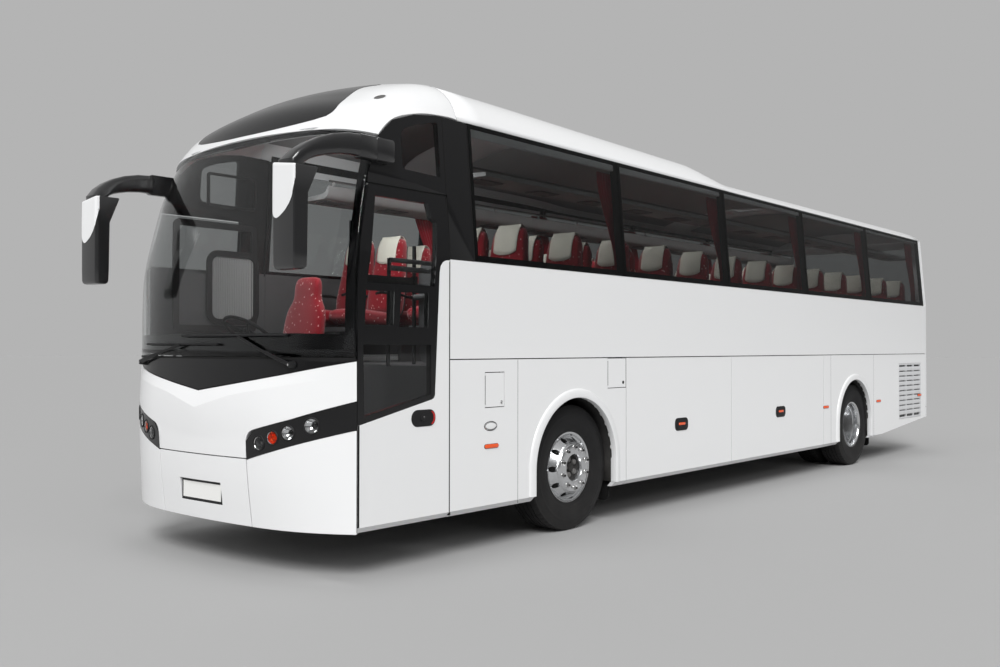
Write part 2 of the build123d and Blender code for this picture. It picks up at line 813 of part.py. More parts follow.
# ----------------------------------------------------------------- fittings
# arm stations: x, y, z, half width across, half depth
mirror_arm = [
    (2385, 1250, 2822, 34, 40),
    (2500, 1250, 2850, 36, 40),
    (2640, 1246, 2848, 36, 38),
    (2760, 1236, 2800, 34, 36),
    (2840, 1222, 2715, 32, 34),
    (2880, 1208, 2610, 30, 32),
    (2890, 1200, 2560, 30, 30),
]
# head stations, top to bottom: z, rear x, front x, inner y, outer y
mirror_head = [
    (2606, 2862, 2912, 1140, 1250),
    (2580, 2846, 2936, 1110, 1280),
    (2500, 2842, 2948, 1092, 1293),
    (2250, 2846, 2946, 1086, 1296),
    (2050, 2852, 2932, 1090, 1290),
    (1985, 2864, 2916, 1120, 1262),
]


def make_mirror():
    """Left mirror: bracket on the corner panel, swept arm and head."""
    low, high = 2745, 2885
    bracket = along([(side_y(low) + 2, low), (1293, low), (1293, high), (side_y(high) + 2, high)],
                    2040, 2395)
    sections = []
    for k, (x, y, z, across_, depth) in enumerate(mirror_arm):
        before = mirror_arm[max(k - 1, 0)]
        after = mirror_arm[min(k + 1, len(mirror_arm) - 1)]
        run, drop = after[0] - before[0], after[2] - before[2]
        up = (-drop / hypot(run, drop), run / hypot(run, drop))
        ring = []
        for j in range(8):
            angle = 2 * pi * (j + 0.5) / 8
            side, lift = across_ * cos(angle), depth * sin(angle)
            ring.append((x + up[0] * lift, y + side, z + up[1] * lift))
        sections.append(Wire.make_polygon(ring, close=True))
    arm = Solid.make_loft(sections, True)
    rings = []
    for z, rear, front, inner, outer in mirror_head:
        bevel = 22
        ring = [(rear, inner, z), (front - bevel, inner, z), (front, inner + bevel, z),
                (front, outer - bevel, z), (front - bevel, outer, z), (rear, outer, z)]
        rings.append(Wire.make_polygon(ring, close=True))
    head = Solid.make_loft(rings, True)
    return bracket + arm + head


# wipers: pivot (y, z), elbow (y, z), blade (y0, y1, z)
wipers = [
    ((900, 1400), (420, 1585), (-250, 850, 1592)),
    ((-900, 1400), (-250, 1528), (-800, 200, 1535)),
]
wiper_gap = 6                # clear of the screen


def swept_bar(stations, height, depth):
    """A bar that runs across the coach through (x, y, z) stations."""
    rings = []
    for x, y, z in stations:
        ring = [(x, y, z - height / 2), (x + depth, y, z - height / 2),
                (x + depth, y, z + height / 2), (x, y, z + height / 2)]
        rings.append(Wire.make_polygon(ring, close=True))
    return Solid.make_loft(rings, True)


def make_wipers():
    made = []
    for (pivot_y, pivot_z), (elbow_y, elbow_z), (y0, y1, blade_z) in wipers:
        blade_stops = [y0 + (y1 - y0) * k / 6 for k in range(7)]
        blade = swept_bar([(bow_x(abs(y), blade_z) + wiper_gap, y, blade_z) for y in blade_stops], 22, 16)
        arm_stops = [(pivot_y + (elbow_y - pivot_y) * k / 4, pivot_z + (elbow_z - pivot_z) * k / 4)
                     for k in range(5)]
        arm = swept_bar([(bow_x(abs(y), z) + wiper_gap + 12, y, z) for y, z in arm_stops], 26, 14)
        foot_x = bow_x(abs(pivot_y), pivot_z)
        boss = round_x(pivot_y, pivot_z, 22, foot_x + wiper_gap + 12, foot_x + 46)
        made.append(boss + arm + blade)
    return made


def hinge_rods():
    """Rods in the panel joints that the luggage flaps, engine lid and side flaps turn on."""
    rods = []
    r = 3
    for rear, front in ((flap_middle_x, flap_front_x), (flap_rear_x, flap_middle_x)):
        rods += both_sides(round_x(half_width, crease_z, r, rear + 30, front - 30))
    rods.append(round_y(rear_centre_x - 2, engine_lid[2] + gap / 2, r, -300, 300))
    for rear, front, low, high in (fuel_flap, service_flap):
        rods.append(round_z(front + 3, half_width, 2, low + 20, high - 20))
    return rods


# ------------------------------------------------------------------ front door
door_gap = 7
door_top_z = 2585
door_outline = [
    (door_rear_x + door_gap, skirt_z + 2), (door_front_x - door_gap, skirt_z + 2),
    (door_front_x - door_gap, 1890), (2398, 2190), (2345, 2400), (2296, door_top_z),
    (1566, door_top_z), (door_rear_x + door_gap, 2500),
]
# panes of the door, as outlines in x and z: upper, two small ones, lower
door_panes = [
    [(1712, 1938), (2340, 1938), (2243, 2516), (1745, 2516), (1722, 2417), (1668, 2387)],
    [(2103, 1662), (2360, 1662), (2349, 1886), (2094, 1886)],
    [(1772, 1650), (2050, 1650), (2035, 1886), (1768, 1886)],
    [(1746, 1186), (2363, 1065), (2373, 1530), (1747, 1530)],
]


def make_door():
    leaf = side_panel(door_outline, 0, 46)
    for outline in door_panes:
        leaf = leaf - across(outline, 900, 1400)
    return leaf, [side_panel(outline, 2, 8) for outline in door_panes]


door_pivot = (2330, 1120)
door_arm_x = 1760


def make_door_arm():
    post = pin(door_pivot[0], door_pivot[1], 430, 22, 1920, (0, 0, 1))
    arm = post
    for z in (820, 1950):
        arm = arm + block(door_arm_x, door_pivot[0], 1105, 1135, z, z + 50)
    for z in (820, 1950):
        arm = arm + round_z(door_arm_x, door_pivot[1], 24, z - 10, z + 60)
    return arm


# ------------------------------------------------------------------ all pieces
# columns: middle x, underside z of the lid
hatches = {"front": (-600, 3579), "rear": (-5600, 3385)}


def make_hatch(x, z):
    return block(x - 300, x + 300, -300, 300, z, z + 30)


def build_all():
    nodes = {}
    black, mask, bumper_flap, corners, bands, lamps = make_nose_panels()
    dome, cap = make_dome_and_cap()
    roof = make_roof()
    for x, z in hatches.values():
        roof = roof - block(x - 265, x + 265, -265, 265, 3200, 3700)
    nodes["roof"] = roof
    nodes["roof_dome"] = dome
    nodes["roof_cap"] = cap
    nodes["nose_black_panel"] = black
    nodes["nose_mask"] = mask
    nodes["bumper_flap"] = bumper_flap
    nodes["bumper_corners"] = corners
    nodes["lamp_bands"] = bands
    nodes["headlamps"] = lamps
    nodes["windscreen"] = make_screen() & dome_cut(21.4)
    left_wall = make_side_wall(door_rear_x)
    right_wall = make_side_wall(door_rear_x) + wall_slab(door_rear_x - 1, 2414, crease_z + gap / 2,
                                                         belt_z, 0, wall)
    nodes["side_wall_left"] = left_wall
    nodes["side_wall_right"] = other_side(right_wall)
    driver_window = side_panel(driver_window_outline, 0, glass)
    nodes["side_windows"] = both_sides(make_panes()) + [other_side(driver_window)]
    nodes["quarter_panels"] = both_sides(make_quarter())

    left_front, left_tail = make_skirt(door_rear_x)
    right_front, right_tail = make_skirt(2424)
    left_front = left_front - hole(*fuel_flap, 6) - hole(*service_flap, 6)
    nodes["skirt_left"] = [left_front, left_tail]
    nodes["skirt_right"] = [other_side(right_front), other_side(right_tail)]
    nodes["side_grilles"] = both_sides(make_grille())
    nodes["fuel_flap"] = wall_slab(*fuel_flap, 0, 25)
    nodes["service_flap"] = wall_slab(*service_flap, 0, 25)
    for name, rear, front in (("front", flap_middle_x, flap_front_x), ("rear", flap_rear_x, flap_middle_x)):
        flap = make_flap(rear, front)
        nodes["luggage_flap_left_" + name] = flap
        nodes["luggage_flap_right_" + name] = other_side(flap)

    panel, window, lid, bumper, tail_lamps = make_tail()
    nodes["rear_panel"] = [panel, make_tail_cap()]
    nodes["rear_window"] = window
    nodes["engine_lid"] = lid
    nodes["rear_bumper"] = bumper
    nodes["tail_lamps"] = tail_lamps

    nodes["floor_deck"] = make_floor()
    nodes["underframe"] = make_underframe()
    nodes["engine_block"] = block(-8600, -7040, -340, 340, 470, 1200)
    nodes["front_axle"] = make_front_axle()
    nodes["rear_axle"] = make_rear_axle()
    knuckle = make_knuckle()
    tyre = make_tyre(0, front_tyre_y)
    rim = make_front_rim(front_tyre_y, front_tyre_y + 110)
    rear_tyres = [make_tyre(-wheelbase, rear_outer_y), make_tyre(-wheelbase, rear_inner_y)]
    twin_rims = make_rear_rims(-wheelbase)
    for side, place in (("left", lambda shape: shape), ("right", other_side)):
        nodes["knuckle_" + side] = place(knuckle)
        nodes["tyre_front_" + side] = place(tyre)
        nodes["rim_front_" + side] = place(rim)
        nodes["tyres_rear_" + side] = [place(shape) for shape in rear_tyres]
        nodes["rim_rear_" + side] = place(twin_rims)

    nodes["passenger_seats"] = make_seats()
    nodes["headrest_covers"] = make_covers()
    nodes["driver_seat"] = make_driver_seat()
    nodes["dashboard"] = make_dashboard()
    nodes["steering_wheel"] = make_steering_wheel()
    nodes["saloon_fittings"] = make_racks() + make_rails()
    nodes["curtains"] = make_curtains()
    mirror_left = make_mirror()
    nodes["mirror_left"] = mirror_left
    nodes["mirror_right"] = other_side(mirror_left)
    nodes["wipers"] = make_wipers()
    nodes["hinge_rods"] = hinge_rods()
    nodes["mudflaps"] = both_sides(block(-590, -560, 960, 1185, 180, 620)) + both_sides(
        block(-6800, -6770, 600, 1185, 200, 620))
    leaf, panes = make_door()
    nodes["door_leaf"] = leaf
    nodes["door_glass"] = panes
    nodes["door_arm"] = make_door_arm()
    for name, place in hatches.items():
        nodes["roof_hatch_" + name] = make_hatch(*place)
    return nodes


os.makedirs("parts", exist_ok=True)
for name, shape in build_all().items():
    solids = [Pos(front_axle_x, 0, 0) * solid for solid in solids_of(shape)]
    export_step(solids[0] if len(solids) == 1 else Compound(children=solids), "parts/" + name + ".step")
    print(name, len(solids), "solids", "valid" if all(solid.is_valid for solid in solids) else "INVALID")
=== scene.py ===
import bpy
import bmesh
import json
import math
from mathutils import Matrix, Vector


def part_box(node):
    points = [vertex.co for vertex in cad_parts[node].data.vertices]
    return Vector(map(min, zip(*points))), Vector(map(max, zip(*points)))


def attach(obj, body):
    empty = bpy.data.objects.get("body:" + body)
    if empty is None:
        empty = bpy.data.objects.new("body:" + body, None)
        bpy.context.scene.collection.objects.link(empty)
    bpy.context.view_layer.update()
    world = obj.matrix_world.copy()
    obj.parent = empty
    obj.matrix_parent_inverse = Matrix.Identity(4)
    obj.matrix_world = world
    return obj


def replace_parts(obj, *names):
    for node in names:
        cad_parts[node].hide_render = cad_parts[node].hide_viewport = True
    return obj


# A twin-axle touring coach in a plain studio. Metres, +X forward, +Y to the coach's left.
# Every x in this file is measured forward from the front axle; ahead() puts it in the frame.

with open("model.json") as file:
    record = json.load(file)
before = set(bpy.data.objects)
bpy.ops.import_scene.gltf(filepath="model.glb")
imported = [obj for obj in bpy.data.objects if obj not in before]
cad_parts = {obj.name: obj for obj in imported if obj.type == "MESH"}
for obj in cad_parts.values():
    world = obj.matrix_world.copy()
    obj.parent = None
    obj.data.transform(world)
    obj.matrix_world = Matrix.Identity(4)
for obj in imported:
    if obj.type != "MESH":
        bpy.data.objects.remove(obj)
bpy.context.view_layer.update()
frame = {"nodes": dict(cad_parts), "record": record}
nodes = frame["nodes"]

tyre_low, tyre_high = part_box("tyre_front_left")
FRONT_AXLE_X = (tyre_low.x + tyre_high.x) / 2
WHEELBASE = 6.180
TYRE_R = 0.522
HALF_WIDTH = 1.275
BELT_Z = 2.137
CREASE_Z = 1.427
TUMBLEHOME = 0.085 / 1.003
FLOOR_Z = 1.380
# sign of y and name of each side
HANDS = ((1, "left"), (-1, "right"))


def ahead(x):
    return FRONT_AXLE_X + x


def side_y(z):
    """Half width of the body at height z."""
    return HALF_WIDTH - max(0.0, z - BELT_Z) * TUMBLEHOME


def turns(count, shift=0.0):
    """Angles that part a full turn evenly, moved on by a share of a step."""
    return [2 * math.pi * (k + shift) / count for k in range(count)]


def placed(name, data):
    """A new object in the scene."""
    made = bpy.data.objects.new(name, data)
    bpy.context.scene.collection.objects.link(made)
    return made


def worked_in(piece):
    """A new mesh of the piece with its modifiers worked in."""
    depsgraph = bpy.context.evaluated_depsgraph_get()
    return bpy.data.meshes.new_from_object(piece.evaluated_get(depsgraph))


# ------------------------------------------------------------------ node groups
def new_group(name, inputs, outputs):
    """An empty shader group. inputs are (name, kind, default), outputs are (name, kind)."""
    group = bpy.data.node_groups.new(name, "ShaderNodeTree")
    for label, kind, default in inputs:
        socket = group.interface.new_socket(label, in_out="INPUT", socket_type="NodeSocket" + kind)
        socket.default_value = default
    for label, kind in outputs:
        group.interface.new_socket(label, in_out="OUTPUT", socket_type="NodeSocket" + kind)
    start = group.nodes.new("NodeGroupInput")
    end = group.nodes.new("NodeGroupOutput")
    return group, start, end


def link(tree, source, target):
    tree.links.new(source, target)


def plug(tree, node, **values):
    """Sets or links the node's inputs by label, with _ for a space."""
    for label, value in values.items():
        socket = node.inputs[label.replace("_", " ")]
        if isinstance(value, bpy.types.NodeSocket):
            link(tree, value, socket)
        else:
            socket.default_value = value
    return node


def add_node(tree, kind, **values):
    return plug(tree, tree.nodes.new("ShaderNode" + kind), **values)


def object_place(tree):
    return add_node(tree, "TexCoord").outputs["Object"]


def node_math(tree, operation, first, second):
    node = tree.nodes.new("ShaderNodeMath")
    node.operation = operation
    for socket, value in zip(node.inputs, (first, second)):
        if isinstance(value, (int, float)):
            socket.default_value = value
        else:
            link(tree, value, socket)
    return node.outputs[0]


def node_mix(tree, factor, first, second):
    node = tree.nodes.new("ShaderNodeMix")
    node.data_type = "RGBA"
    for socket, value in ((node.inputs[0], factor), (node.inputs[6], first), (node.inputs[7], second)):
        if isinstance(value, bpy.types.NodeSocket):
            link(tree, value, socket)
        else:
            socket.default_value = value
    return node.outputs[2]


def make_surface_grain():
    """Fine mottling of a surface: colour drift, roughness drift and a height for bump."""
    tree, start, end = new_group(
        "Surface grain",
        [("Base", "Color", (0.5, 0.5, 0.5, 1)), ("Drift", "Color", (0.4, 0.4, 0.4, 1)),
         ("Scale", "Float", 40.0), ("Amount", "Float", 0.2), ("Roughness", "Float", 0.5),
         ("Roughness drift", "Float", 0.05)],
        [("Color", "Color"), ("Roughness", "Float"), ("Height", "Float")])
    noise = add_node(tree, "TexNoise", Detail=4.0, Vector=object_place(tree), Scale=start.outputs["Scale"])
    amount = node_math(tree, "MULTIPLY", noise.outputs[0], start.outputs["Amount"])
    swing = node_math(tree, "MULTIPLY", node_math(tree, "SUBTRACT", noise.outputs[0], 0.5),
                      start.outputs["Roughness drift"])
    plug(tree, end, Color=node_mix(tree, amount, start.outputs["Base"], start.outputs["Drift"]),
         Roughness=node_math(tree, "ADD", start.outputs["Roughness"], swing), Height=noise.outputs[0])
    return tree


def make_road_film():
    """A thin film of dust that thickens towards the ground."""
    tree, start, end = new_group(
        "Road film",
        [("Color", "Color", (0.5, 0.5, 0.5, 1)), ("Film", "Color", (0.35, 0.33, 0.3, 1)),
         ("Top", "Float", 0.9), ("Amount", "Float", 0.2)],
        [("Color", "Color"), ("Mask", "Float")])
    place = object_place(tree)
    height = add_node(tree, "SeparateXYZ", Vector=place).outputs["Z"]
    fall = add_node(tree, "MapRange", Value=height, From_Min=0.0, From_Max=start.outputs["Top"],
                    To_Min=1.0, To_Max=0.0)
    noise = add_node(tree, "TexNoise", Scale=9.0, Detail=5.0, Vector=place)
    patchy = node_math(tree, "MULTIPLY", fall.outputs[0], noise.outputs[0])
    mask = node_math(tree, "MULTIPLY", patchy, start.outputs["Amount"])
    plug(tree, end, Color=node_mix(tree, mask, start.outputs["Color"], start.outputs["Film"]), Mask=mask)
    return tree


def make_weave():
    """Two crossed thread directions: a height and a shade mask."""
    tree, start, end = new_group(
        "Cloth weave",
        [("Color", "Color", (0.5, 0.5, 0.5, 1)), ("Shade", "Color", (0.3, 0.3, 0.3, 1)),
         ("Threads", "Float", 900.0), ("Contrast", "Float", 0.4)],
        [("Color", "Color"), ("Height", "Float")])
    place = object_place(tree)
    waves = []
    for direction in ("X", "Y", "Z"):
        wave = add_node(tree, "TexWave", Distortion=0.6, Vector=place, Scale=start.outputs["Threads"])
        wave.bands_direction = direction
        waves.append(wave.outputs["Fac"])
    height = node_math(tree, "MULTIPLY", node_math(tree, "ADD", waves[0], waves[1]), waves[2])
    mask = node_math(tree, "MULTIPLY", height, start.outputs["Contrast"])
    plug(tree, end, Color=node_mix(tree, mask, start.outputs["Color"], start.outputs["Shade"]), Height=height)
    return tree


def make_flecks():
    """Scattered short strokes over a fine pile."""
    tree, start, end = new_group(
        "Plush flecks",
        [("Color", "Color", (0.5, 0.5, 0.5, 1)), ("Fleck", "Color", (0.8, 0.8, 0.8, 1)),
         ("Scale", "Float", 40.0), ("Size", "Float", 0.1)],
        [("Color", "Color"), ("Height", "Float")])
    place = object_place(tree)
    stretch = add_node(tree, "Mapping", Rotation=(0.4, 0.5, 0.7), Scale=(1.0, 1.5, 0.9), Vector=place)
    cells = add_node(tree, "TexVoronoi", Vector=stretch.outputs[0], Scale=start.outputs["Scale"])
    stroke = node_math(tree, "LESS_THAN", cells.outputs["Distance"], start.outputs["Size"])
    pile = add_node(tree, "TexNoise", Scale=900.0, Vector=place)
    plug(tree, end, Color=node_mix(tree, stroke, start.outputs["Color"], start.outputs["Fleck"]),
         Height=pile.outputs[0])
    return tree


FLECKS = make_flecks()
GRAIN = make_surface_grain()
FILM = make_road_film()
WEAVE = make_weave()


# -------------------------------------------------------------------- materials
def blank_material(name, **sockets):
    material = bpy.data.materials.new(name)
    material.use_nodes = True
    shader = material.node_tree.nodes["Principled BSDF"]
    for label, value in sockets.items():
        shader.inputs[label.replace("_", " ")].default_value = value
    return material, material.node_tree, shader


def use_group(tree, group, **values):
    node = add_node(tree, "Group")
    node.node_tree = group
    return plug(tree, node, **values)


def bump(tree, shader, height, strength, distance=0.001):
    node = add_node(tree, "Bump", Strength=strength, Distance=distance, Height=height)
    plug(tree, shader, Normal=node.outputs[0])


def rgb(red, green, blue):
    return (red, green, blue, 1.0)


def grey(level):
    return rgb(level, level, level)


def grained(name, base, drift, scale, amount, rough, rough_drift=0.06, bump_strength=0.0,
            film=0.0, **sockets):
    """A finish with fine mottling, and with road film towards the ground if film is set."""
    material, tree, shader = blank_material(name, **sockets)
    grain = use_group(tree, GRAIN, Base=rgb(*base), Drift=rgb(*drift), Scale=scale, Amount=amount,
                      Roughness=rough, Roughness_drift=rough_drift)
    colour = grain.outputs["Color"]
    if film:
        colour = use_group(tree, FILM, Color=colour, Amount=film).outputs["Color"]
    plug(tree, shader, Base_Color=colour, Roughness=grain.outputs["Roughness"])
    if bump_strength:
        bump(tree, shader, grain.outputs["Height"], bump_strength)
    return material


def cloth(name, colour, shade, threads, contrast, **sockets):
    material, tree, shader = blank_material(name, Roughness=0.9, **sockets)
    weave = use_group(tree, WEAVE, Color=rgb(*colour), Shade=rgb(*shade), Threads=threads,
                      Contrast=contrast)
    plug(tree, shader, Base_Color=weave.outputs["Color"])
    bump(tree, shader, weave.outputs["Height"], 0.4)
    return material


def flecked(name, colour, fleck, scale, size):
    """Plush with short pale flecks scattered over it."""
    material, tree, shader = blank_material(name, Roughness=0.92, Sheen_Weight=0.35)
    flecks = use_group(tree, FLECKS, Color=rgb(*colour), Fleck=rgb(*fleck), Scale=scale, Size=size)
    plug(tree, shader, Base_Color=flecks.outputs["Color"])
    bump(tree, shader, flecks.outputs["Height"], 0.35)
    return material


def glass(name, colour, roughness=0.0, ior=1.45):
    return blank_material(name, Base_Color=rgb(*colour), Roughness=roughness, IOR=ior,
                          Transmission_Weight=1.0)[0]


WHITE = grained("Coach white paint", (0.80, 0.805, 0.81), (0.79, 0.795, 0.80), 3.0, 0.3, 0.30, 0.02,
                film=0.03, Coat_Weight=0.4, Coat_Roughness=0.05)
BLACK = grained("Gloss black paint", (0.006, 0.006, 0.0065), (0.009, 0.009, 0.010), 12.0, 0.3, 0.20, 0.05,
                Coat_Weight=0.25, Coat_Roughness=0.04, Specular_IOR_Level=0.3)
GLOSS_MOULDING = grained("Gloss black mouldings", (0.008, 0.008, 0.009), (0.012, 0.012, 0.012), 12.0, 0.3,
                         0.30, 0.05, Coat_Weight=0.9, Coat_Roughness=0.16, Specular_IOR_Level=0.5)
FRIT = grained("Black glass border", (0.005, 0.005, 0.006), (0.009, 0.009, 0.009), 30.0, 0.3, 0.16,
               Specular_IOR_Level=0.25)
RUBBER = grained("Black seal rubber", (0.008, 0.008, 0.008), (0.014, 0.014, 0.014), 60.0, 0.4, 0.65,
                 Specular_IOR_Level=0.2)
JOINT_SHADE = grained("Shaded joint", (0.16, 0.16, 0.165), (0.12, 0.12, 0.12), 60.0, 0.4, 0.8,
                      Specular_IOR_Level=0.1)
PLASTIC = grained("Matte black plastic", (0.010, 0.010, 0.011), (0.020, 0.020, 0.020), 240.0, 0.5, 0.5,
                  bump_strength=0.15, Specular_IOR_Level=0.3)
CHASSIS = grained("Black chassis paint", (0.012, 0.012, 0.013), (0.03, 0.028, 0.026), 18.0, 0.6, 0.6,
                  film=0.2, Specular_IOR_Level=0.2)
CASTING = grained("Grey casting", (0.16, 0.16, 0.16), (0.1, 0.09, 0.085), 50.0, 0.6, 0.6, film=0.4,
                  Metallic=0.4)
TYRE = grained("Tyre rubber", (0.008, 0.008, 0.009), (0.016, 0.0155, 0.015), 35.0, 0.5, 0.6,
               bump_strength=0.1, film=0.06, Specular_IOR_Level=0.25)
ALLOY = grained("Polished wheel alloy", (0.74, 0.75, 0.76), (0.6, 0.6, 0.61), 60.0, 0.3, 0.22, 0.12,
                Metallic=1.0)
CHROME = grained("Chrome", (0.8, 0.8, 0.8), (0.7, 0.7, 0.7), 20.0, 0.2, 0.06, 0.04, Metallic=1.0)
TRIM = grained("Grey moulded trim", (0.085, 0.085, 0.088), (0.06, 0.06, 0.06), 200.0, 0.5, 0.6,
               bump_strength=0.15)
TRIM_PALE = grained("Pale headlining", (0.30, 0.30, 0.30), (0.24, 0.24, 0.24), 300.0, 0.4, 0.8,
                    bump_strength=0.1)
FLOORING = grained("Saloon floor covering", (0.05, 0.05, 0.053), (0.09, 0.09, 0.09), 400.0, 0.6, 0.7,
                   bump_strength=0.1)
SEAT_RED = cloth("Red seat plush", (0.36, 0.004, 0.018), (0.22, 0.002, 0.010), 700.0, 0.5,
                 Sheen_Weight=0.3)
COVER = cloth("Headrest cloth", (0.74, 0.72, 0.63), (0.62, 0.60, 0.53), 900.0, 0.4)
CURTAIN = cloth("Curtain cloth", (0.30, 0.004, 0.016), (0.2, 0.002, 0.01), 600.0, 0.4,
                Sheen_Weight=0.2)
CLEAR_GLASS = glass("Screen glass", (0.80, 0.82, 0.82), ior=1.3)
TINT_GLASS = glass("Tinted glass", (0.36, 0.37, 0.37), ior=1.25)
RED_LENS = grained("Red lamp lens", (0.45, 0.01, 0.01), (0.3, 0.0, 0.0), 40.0, 0.3, 0.12, Coat_Weight=0.5)
AMBER = grained("Amber lamp lens", (0.9, 0.22, 0.02), (0.8, 0.15, 0.01), 40.0, 0.3, 0.15, Coat_Weight=0.5)
LAMP_CLEAR = glass("Lamp lens", (0.95, 0.96, 0.97), 0.02, 1.35)
AMBER_GLASS = glass("Amber indicator lens", (0.98, 0.50, 0.22), 0.05, 1.3)
PLATE_FACE = grained("Blank number plate", (0.80, 0.80, 0.78), (0.72, 0.72, 0.70), 60.0, 0.4, 0.4)
PALE_GREY = grained("Pale grey grille paint", (0.62, 0.63, 0.64), (0.5, 0.5, 0.51), 12.0, 0.4, 0.4, film=0.2)
ORANGE = grained("Orange lamp lens", (0.86, 0.10, 0.015), (0.75, 0.07, 0.01), 40.0, 0.3, 0.15,
                 Coat_Weight=0.4)
PLUSH = flecked("Red seat plush with flecks", (0.25, 0.003, 0.011), (0.62, 0.38, 0.36), 24.0, 0.17)

SLOT_MATERIALS = {
    "paint_white": WHITE, "gloss_black": BLACK, "clear_glass": CLEAR_GLASS,
    "tinted_glass": TINT_GLASS, "matte_black": PLASTIC, "lamp_red": RED_LENS,
    "floor_grey": FLOORING, "chassis_black": CHASSIS, "cast_grey": CASTING, "tyre_rubber": TYRE,
    "wheel_alloy": ALLOY, "seat_red": SEAT_RED, "cover_cloth": COVER, "trim_grey": TRIM,
    "curtain_red": CURTAIN, "lamp_clear": LAMP_CLEAR,
}


def dress_nodes():
    """Give every node of the frame its finish, by its slot in the record."""
    for entry in frame["record"]["subparts"]:
        mesh = nodes[entry["node"]].data
        mesh.materials.clear()
        mesh.materials.append(SLOT_MATERIALS[entry["material_slot"]])


dress_nodes()


# ------------------------------------------------------------- shape helpers
SHARP_ANGLE = math.radians(38)


class Mould:
    """Gathers shapes into one mesh. Points are measured from the front axle."""

    def __init__(self):
        self.points = []
        self.faces = []
        self.finishes = []

    def add(self, points, faces, finish=0):
        start = len(self.points)
        self.points += [tuple(point) for point in points]
        self.faces += [[start + index for index in face] for face in faces]
        self.finishes += [finish] * len(faces)

    def loft(self, rings, closed=True, capped=True, finish=0):
        """Skin over rings of equal length. closed joins each ring's end to its start."""
        count = len(rings[0])
        faces = []
        for row in range(len(rings) - 1):
            for k in range(count if closed else count - 1):
                n = (k + 1) % count
                faces.append([row * count + k, row * count + n, (row + 1) * count + n,
                              (row + 1) * count + k])
        if capped:
            faces.append(list(range(count))[::-1])
            last = (len(rings) - 1) * count
            faces.append([last + k for k in range(count)])
        self.add([point for ring in rings for point in ring], faces, finish)

    def box(self, low, high, finish=0):
        (x0, y0, z0), (x1, y1, z1) = low, high
        self.loft([[(x0, y0, z0), (x1, y0, z0), (x1, y1, z0), (x0, y1, z0)],
                   [(x0, y0, z1), (x1, y0, z1), (x1, y1, z1), (x0, y1, z1)]], finish=finish)

    def plate(self, outline, sweep, finish=0):
        """A flat outline of 3-D points, thickened along sweep."""
        self.loft([outline, [tuple(Vector(point) + Vector(sweep)) for point in outline]], finish=finish)

    def turned(self, profile, centre, axis, steps, closed=True, finish=0):
        """An outline of (along, radius) turned about an axis through centre."""
        axis = Vector(axis).normalized()
        side = axis.orthogonal().normalized()
        other = axis.cross(side)
        rings = []
        for angle in turns(steps):
            out = side * math.cos(angle) + other * math.sin(angle)
            rings.append([tuple(Vector(centre) + axis * a + out * r) for a, r in profile])
        self.loft(rings + [rings[0]], closed=closed, capped=False, finish=finish)

    def tube(self, path, radius, sides=8, finish=0, flatten=1.0):
        """A round bar along a path of points. radius is a number or one for each point."""
        radii = radius if isinstance(radius, (list, tuple)) else [radius] * len(path)
        path = [Vector(point) for point in path]
        rings = []
        side = None
        for k, point in enumerate(path):
            before, after = path[max(k - 1, 0)], path[min(k + 1, len(path) - 1)]
            run = (after - before).normalized()
            if side is None:
                side = run.orthogonal().normalized()
            side = (side - run * side.dot(run)).normalized()
            lift = run.cross(side)
            rings.append([tuple(point + (side * math.cos(a) + lift * math.sin(a) * flatten) * radii[k])
                          for a in turns(sides)])
        self.loft(rings, finish=finish)

    def mirrored(self):
        """Adds the other side's copy of all that is here."""
        start = len(self.points)
        self.points += [(x, -y, z) for x, y, z in self.points]
        self.faces += [[start + index for index in reversed(face)] for face in self.faces]
        self.finishes += self.finishes

    def to_right(self):
        """Turns all that is here, made for the left side, into the right side's."""
        self.points = [(x, -y, z) for x, y, z in self.points]
        self.faces = [face[::-1] for face in self.faces]

    def piece(self, name, materials, body="coach_body", merge=True, smooth=True):
        mesh = bpy.data.meshes.new(name)
        mesh.from_pydata([(ahead(x), y, z) for x, y, z in self.points], [], self.faces)
        for material in materials:
            mesh.materials.append(material)
        mesh.polygons.foreach_set("material_index", self.finishes)
        shape = bmesh.new()
        shape.from_mesh(mesh)
        if merge:
            bmesh.ops.remove_doubles(shape, verts=shape.verts, dist=1e-5)
        bmesh.ops.recalc_face_normals(shape, faces=shape.faces)
        shape.to_mesh(mesh)
        shape.free()
        if smooth:
            mesh.polygons.foreach_set("use_smooth", [True] * len(mesh.polygons))
            mesh.set_sharp_from_angle(angle=SHARP_ANGLE)
        made = placed(name, mesh)
        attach(made, body)
        return made


def rounded(piece, width, segments=2):
    """Small rounded edges."""
    bevel = piece.modifiers.new("edge rounding", "BEVEL")
    bevel.width = width
    bevel.segments = segments
    bevel.limit_method = "ANGLE"
    bevel.angle_limit = SHARP_ANGLE
    bevel.harden_normals = True
    return piece


def thickened(piece, label, thick, offset=0.0):
    """Gives a thin skin real thickness."""
    shell = piece.modifiers.new(label, "SOLIDIFY")
    shell.thickness = thick
    shell.offset = offset
    return piece


def softened(piece, levels):
    subdivision = piece.modifiers.new("soft form", "SUBSURF")
    subdivision.levels = levels
    subdivision.render_levels = levels
    return piece


def between(table, value):
    """Straight-line reading of a table of (key, reading)."""
    for (low, first), (high, second) in zip(table, table[1:]):
        if value <= high:
            share = max(0.0, (value - low) / (high - low))
            return first + (second - first) * share
    return table[-1][1]


